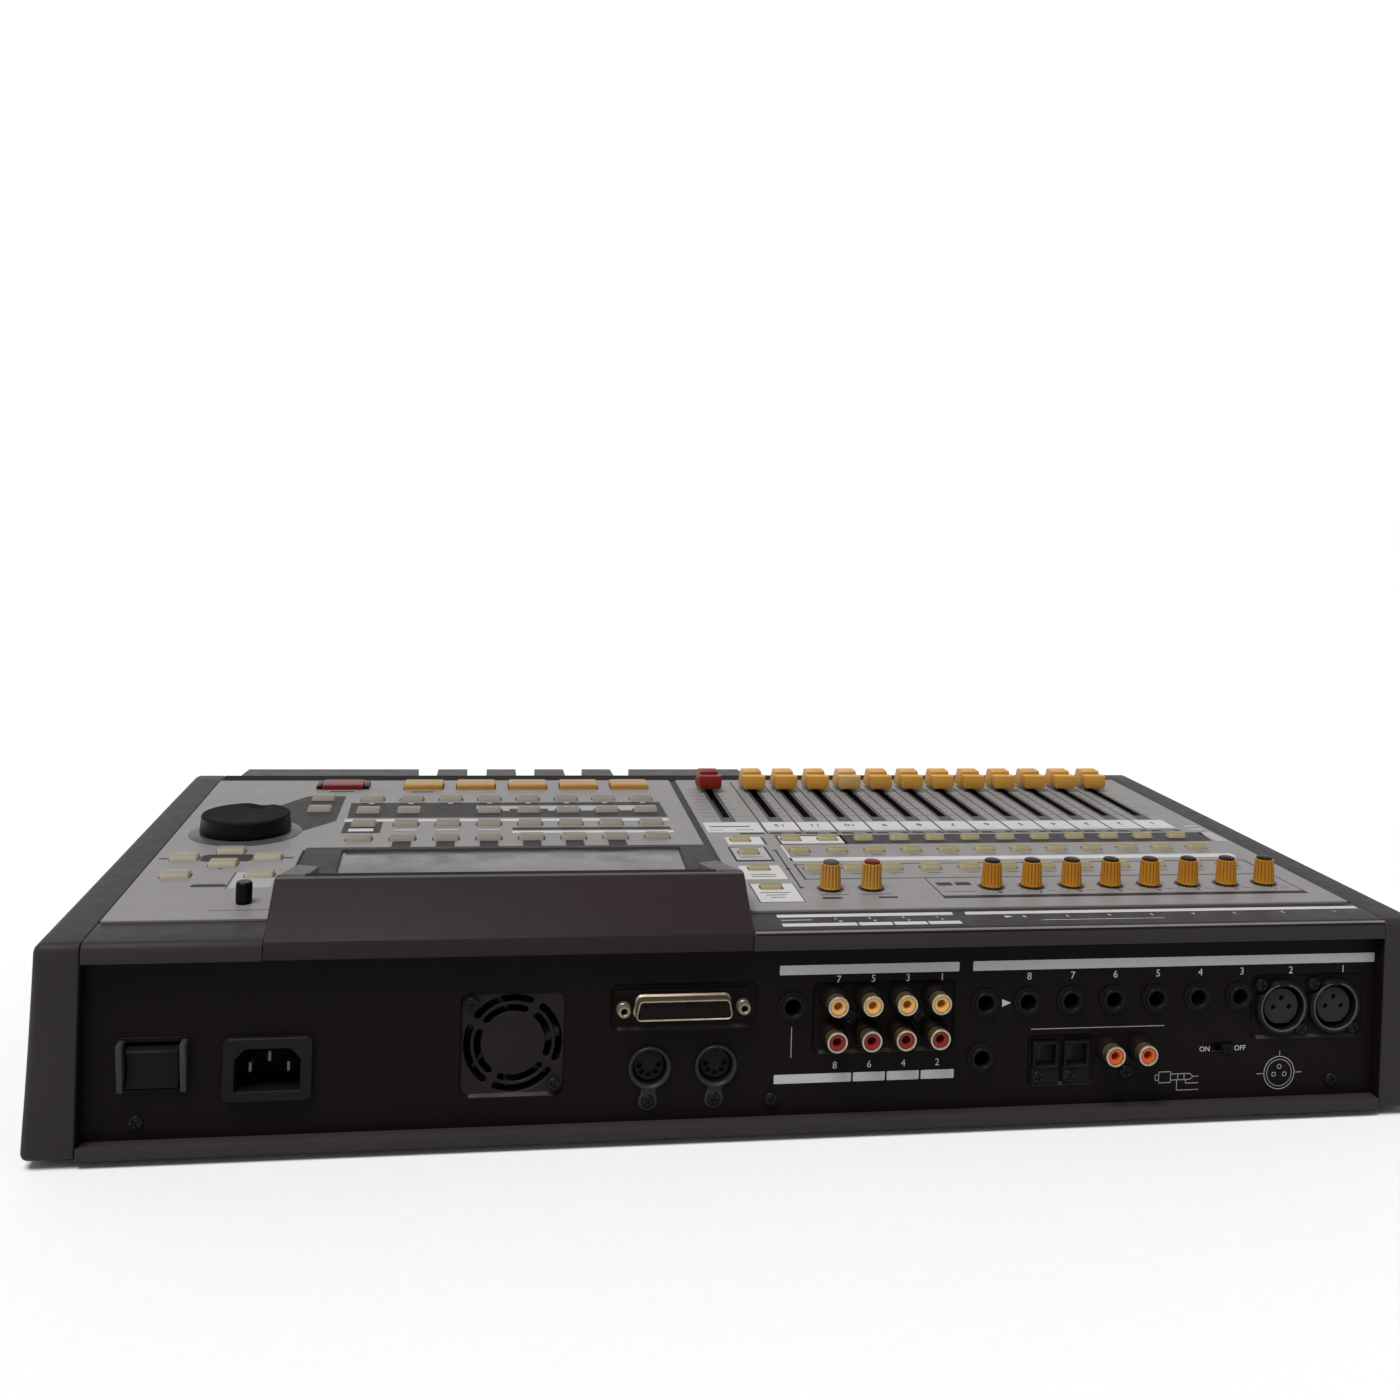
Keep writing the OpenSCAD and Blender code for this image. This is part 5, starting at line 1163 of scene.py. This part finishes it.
# ---------------------------------------------------------------- faders
RIDGES = []
for y in (-1.5, -3.6, -5.7):
    RIDGES += [(y + 0.6, 8.55), (y + 0.1, 7.8), (y - 0.1, 7.8), (y - 0.6, 8.55)]
FRONT_BLOCK = [(0.7, 0.0), (0.7, 8.0), (0.2, 8.5)] + RIDGES + [(-7.4, 8.4), (-8.3, 7.6), (-8.8, 0.0)]
REAR_BLOCK = soft_poly([(-6.2, 0.0), (6.2, 0.0), (6.15, 7.2), (-6.15, 7.2)], [1.8, 1.8, 0.5, 0.5], 4)
ALONG_Y = Matrix(((1, 0, 0, 0), (0, 0, 1, 0), (0, 1, 0, 0), (0, 0, 0, 1)))


def fader(node, x, mat):
    bm = bmesh.new()
    M = Matrix.Translation((x, -76.5, 85.5))
    prism(bm, REAR_BLOCK, 3.0, 8.1, 0.25, 2, 0, M @ ALONG_Y, 40)
    # the front block narrows toward its top
    t = bmesh.new()
    prism(t, FRONT_BLOCK, -6.4, 6.4, 0.2, 2, 0, None, 20)
    for v in t.verts:
        v.co.z *= 1 - 0.225 * max(0.0, v.co.y) / 8.5
    merge(bm, t, 0, M @ SIDE)
    # painted shade: a near-black filler between the cap's two blocks darkens the groove between them
    prism(bm, [(3.2, 0.1), (3.2, 6.4), (0.5, 6.4), (0.5, 0.1)], -5.1, 5.1, 0, 1, 2, M @ SIDE)
    box(bm, x - 0.6, x + 0.6, -79.0, -74.0, 73.0, 86.0, 0.15, 1, 1)
    piece(node + "_cap", bm, [mat, black, hole_m], node, node)


for i, x in enumerate(STRIPS):
    fader("fader_%d" % (i + 1), x, amber_pale if i == 3 else amber)
fader("master_fader", MASTER, red)


# ---------------------------------------------------------------- knobs
def knob(node, x, mat, cap, n=16):
    bm = bmesh.new()
    per = 6
    shape = [0.0, 0.5, 1.0, 1.0, 1.0, 0.5]
    rings = []
    for z, r, f in ((84.1, 4.4, 0), (84.2, 4.57, 0), (84.6, 4.57, 0), (84.9, 4.56, 0.4), (85.2, 4.54, 1), (90.0, 4.28, 1), (93.9, 4.04, 1), (94.3, 3.98, 0.5), (94.5, 3.9, 0), (94.6, 3.75, 0)):
        ring = []
        for i in range(n * per):
            a = 2 * math.pi * i / (n * per)
            q = r - 0.4 * f * (1 - shape[i % per])
            ring.append((q * math.cos(a), q * math.sin(a), z))
        rings.append(ring)
    M = at(x, KNOB_Y)
    loft(bm, rings, 0, M)
    # painted shade: the flute bottoms take a darker copy of the knob plastic
    tint(bm, 0, n * per, range(3, 7), 4, [i for i in range(n * per) if i % per in (0, 5)])
    lathe(bm, [(3.4, 94.4), (3.5, 94.75), (3.5, 95.1), (3.3, 95.45), (2.6, 95.75), (1.5, 95.87), (0, 95.9)], 36, 1, M)
    lathe(bm, [(0, 76.5), (2.9, 76.5), (2.9, 84.3), (0, 84.3)], 28, 3, M)
    box(bm, -0.25, 0.25, -3.45, -2.0, 95.0, 95.5, 0.05, 1, 2, M)
    piece(node + "_cap", bm, [mat, cap, ink_white, pot_m, amber_groove_shade], node, node)


for i, x in enumerate(SENS):
    knob("sens_knob_%d" % (i + 1), x, amber_k, cap_brown)
knob("monitor_knob", LEVEL[0], amber_l, cap_grey)
knob("phones_knob", LEVEL[1], amber_l, red_cap)

bm = bmesh.new()
rings = []
for z, r, f in ((84.0, 3.0, 0), (84.2, 3.2, 0), (85.0, 3.2, 0), (85.3, 3.2, 1), (91.0, 3.2, 1), (91.5, 3.15, 0.4), (91.9, 2.95, 0), (92.2, 2.6, 0)):
    rings.append([((r - 0.14 * f * (i % 2)) * math.cos(math.pi * i / 26), (r - 0.14 * f * (i % 2)) * math.sin(math.pi * i / 26), z) for i in range(52)])
M = at(*CONTRAST)
loft(bm, rings, 0, M)
lathe(bm, [(0, 76.5), (2.3, 76.5), (2.3, 84.2), (0, 84.2)], 24, 0, M)
box(bm, -0.25, 0.25, 0.6, 2.5, 92.0, 92.2, 0.04, 1, 1, M)
piece("contrast_cap", bm, [dial_side, ink_grey], "contrast_knob", "contrast_knob")

# ---------------------------------------------------------------- jog dial and its ring
bm = bmesh.new()
n = 144
dent = Vector((-3.6, -15.0))


def dial_point(r, a, z):
    u, v = r * math.cos(a), r * math.sin(a)
    d = (Vector((u, v)) - dent).length
    drop = 0.0
    if d < 7.6:
        drop = 2.1 * (0.5 + 0.5 * math.cos(math.pi * d / 7.6))
        drop *= max(0.0, min(1.0, (z - 88.0) / 4.0))
    return (DIAL[0] + u, DIAL[1] + v, z - drop)


prof = [(20.3, 85.0), (20.6, 85.1), (20.7, 85.4), (20.4, 88.0), (20.2, 90.0), (20.08, 91.2), (20.02, 91.9), (19.9, 92.35), (19.6, 92.68), (19.2, 92.8)]
top_prof = [(19.2 - 0.64 * i, 92.8 - 0.35 * (1 - ((19.2 - 0.64 * i) / 19.2) ** 2)) for i in range(1, 30)] + [(0.02, 92.45)]
side_r = [[dial_point(r, 2 * math.pi * i / n, z) for i in range(n)] for r, z in prof[:7]]
top_r = [[dial_point(r, 2 * math.pi * i / n, z) for i in range(n)] for r, z in prof[6:] + top_prof]
loft(bm, side_r, 1, caps=(True, False))
loft(bm, top_r, 0, caps=(False, True))
bmesh.ops.remove_doubles(bm, verts=bm.verts, dist=1e-4)
lathe(bm, [(0, 76.5), (2.9, 76.5), (2.9, 85.2), (0, 85.2)], 28, 1, at(*DIAL))
piece("dial_shape", bm, [dial_top, dial_side], "jog_dial", "jog_dial", sharp=50)

bm = bmesh.new()
lathe(bm, [(4.2, PANEL - 0.4), (4.2, 84.3), (21.4, 84.42), (22.0, 84.4), (22.7, 84.25), (25.0, 83.78), (25.5, 83.62), (25.7, PANEL - 0.1), (25.6, PANEL - 0.4)], 96, 0, at(*DIAL), True)
piece("dial_ring", bm, ring_m, "chassis")


# ---------------------------------------------------------------- keys
def key(bm, p, w, d, mi, r, z1, slope):
    z0, rings = 80.9, []
    if slope:
        rows = ((z0, 0.0), (PANEL + 0.1, 0.0), (z1 - 0.45, 0.85 * slope), (z1 - 0.22, slope), (z1 - 0.07, slope + 0.15), (z1, slope + 0.38))
    else:
        rows = ((z0, 0.0), (z1 - 0.95, 0.0), (z1 - 0.6, 0.08), (z1 - 0.3, 0.25), (z1 - 0.12, 0.55), (z1 - 0.03, 0.9), (z1, 1.3))
    for z, k in rows:
        rings.append(lift(rr(w - 2 * k, d - 2 * k, max(0.25, r - 0.4 * k), 4, p[0], p[1]), z))
    first = len(bm.faces)
    loft(bm, rings, mi)
    # the side rings take the next material, a brighter copy of the top colour: painted light on the shaded sides
    tint(bm, first, len(rings[0]), (0, 1, 2), mi + 1)


def key_set(name, node, places, w, d, mat, r=0.9, z1=85.6, slope=0.35):
    bm = bmesh.new()
    for p in places:
        key(bm, p, w, d, 0, r, z1, slope)
    piece(name, bm, mat, node, node, sharp=40)


key_set("locator_key_caps", "locator_keys", LOCATORS, 11.8, 7.0, [ivory_g, ivory_g_side_lit])
key_set("function_key_caps", "function_keys", FUNCTIONS, 11.8, 7.0, [ivory_g, ivory_g_side_lit])
key_set("cursor_key_caps", "cursor_keys", CURSORS, 11.8, 7.0, [ivory_c, ivory_c_side_lit])
key_set("channel_key_caps", "channel_keys", CHANNELS, 9.2, 5.6, [ivory, ivory_side_lit], 1.3)
key_set("monitor_key_caps", "monitor_keys", MONITORS, 9.2, 5.6, [ivory, ivory_side_lit], 1.3)
key_set("transport_key_caps", "transport_keys", TRANS, 20.5, 14.5, [amber_key, amber_side_lit], 0.7, 86.0, 0)
key_set("record_key_cap", "rec_key", [REC], 21.5, 14.5, [red_key, red_side_lit], 0.7, 86.0, 0)

bm = bmesh.new()
for s in (-1, 1):
    x = REC[0] + s * 12.5
    box(bm, x - 1.2, x + 1.2, REC[1] - 6.6, REC[1] + 6.8, PANEL - 0.1, 85.3, 0.3, 2)
piece("record_key_guards", bm, black_s, "chassis")

# ---------------------------------------------------------------- inside: the CAD solids with their finishes
for node, mat in (("fan_frame", black), ("fan_rotor", black_s), ("circuit_boards", board_m), ("power_supply", supply_m), ("hard_disk", disk_m), ("potentiometers", pot_m)):
    dress(node, mat)

# ---------------------------------------------------------------- floor, light, camera
bm = bmesh.new()
v = [bm.verts.new((14 * math.cos(2 * math.pi * i / 96), 14 * math.sin(2 * math.pi * i / 96), 0)) for i in range(96)]
bm.faces.new(v)
me = bpy.data.meshes.new("floor")
bm.to_mesh(me)
bm.free()
floor = bpy.data.objects.new("floor", me)
me.materials.append(surface("floor_paper", (0.72, 0.72, 0.72), rough=0.85, var=0.01, cloud=2, grain=400, bump=0.02, speck=0.01, spec=0.2))
bpy.context.scene.collection.objects.link(floor)

bpy.context.scene.view_settings.view_transform = "Standard"
world = bpy.data.worlds.new("studio")
world.use_nodes = True
wt = world.node_tree
bg = next(n for n in wt.nodes if n.type == "BACKGROUND")
bg.inputs["Strength"].default_value = 1.0
# a low white sweep on the far side of the recorder, a dimmer room everywhere else
sky = wt.nodes.new("ShaderNodeTexCoord")
lobe = wt.nodes.new("ShaderNodeVectorMath")
lobe.operation = "DOT_PRODUCT"
lobe.inputs[1].default_value = (0, -1, -0.6)
wt.links.new(sky.outputs["Generated"], lobe.inputs[0])
tone = wt.nodes.new("ShaderNodeValToRGB")
for e, (pos, c) in zip(tone.color_ramp.elements, ((0.62, (0.36, 0.36, 0.37, 1)), (0.765, (1.02, 1.02, 1.02, 1)))):
    e.position, e.color = pos, c
wmap = wt.nodes.new("ShaderNodeMapRange")
wmap.inputs["From Min"].default_value, wmap.inputs["From Max"].default_value = -1.0, 1.0
wt.links.new(lobe.outputs["Value"], wmap.inputs["Value"])
wt.links.new(wmap.outputs[0], tone.inputs["Fac"])
wt.links.new(tone.outputs["Color"], bg.inputs["Color"])
bpy.context.scene.world = world


def sun(name, source, strength, width):
    la = bpy.data.lights.new(name, "SUN")
    la.energy, la.angle = strength, math.radians(width)
    ob = bpy.data.objects.new(name, la)
    ob.rotation_euler = (-Vector(source)).to_track_quat("-Z", "Y").to_euler()
    bpy.context.scene.collection.objects.link(ob)
    return ob


sun("key_light", (0.30, 0.33, 1.0), 3.5, 28)

C = Vector((116.20495, 705.92543, 262.07286)) * S
yaw, pitch, roll = -0.15654139, 0.01192157, 0.03322955
f = Vector((math.sin(yaw) * math.cos(pitch), -math.cos(yaw) * math.cos(pitch), -math.sin(pitch)))
r = f.cross(Vector((0, 0, 1))).normalized()
u = r.cross(f)
r2 = math.cos(roll) * r + math.sin(roll) * u
u2 = -math.sin(roll) * r + math.cos(roll) * u
cam = bpy.data.cameras.new("camera")
cam.sensor_fit, cam.sensor_width = "HORIZONTAL", 36.0
cam.lens = 1423.32661 / 1400 * 36.0
cam.shift_x, cam.shift_y = (700 - 717.59998) / 1400, (486.76635 - 700) / 1400
cam.clip_start, cam.clip_end = 0.01, 100
cob = bpy.data.objects.new("camera", cam)
cob.matrix_world = Matrix(((r2.x, u2.x, -f.x, C.x), (r2.y, u2.y, -f.y, C.y), (r2.z, u2.z, -f.z, C.z), (0, 0, 0, 1)))
bpy.context.scene.collection.objects.link(cob)
bpy.context.scene.camera = cob
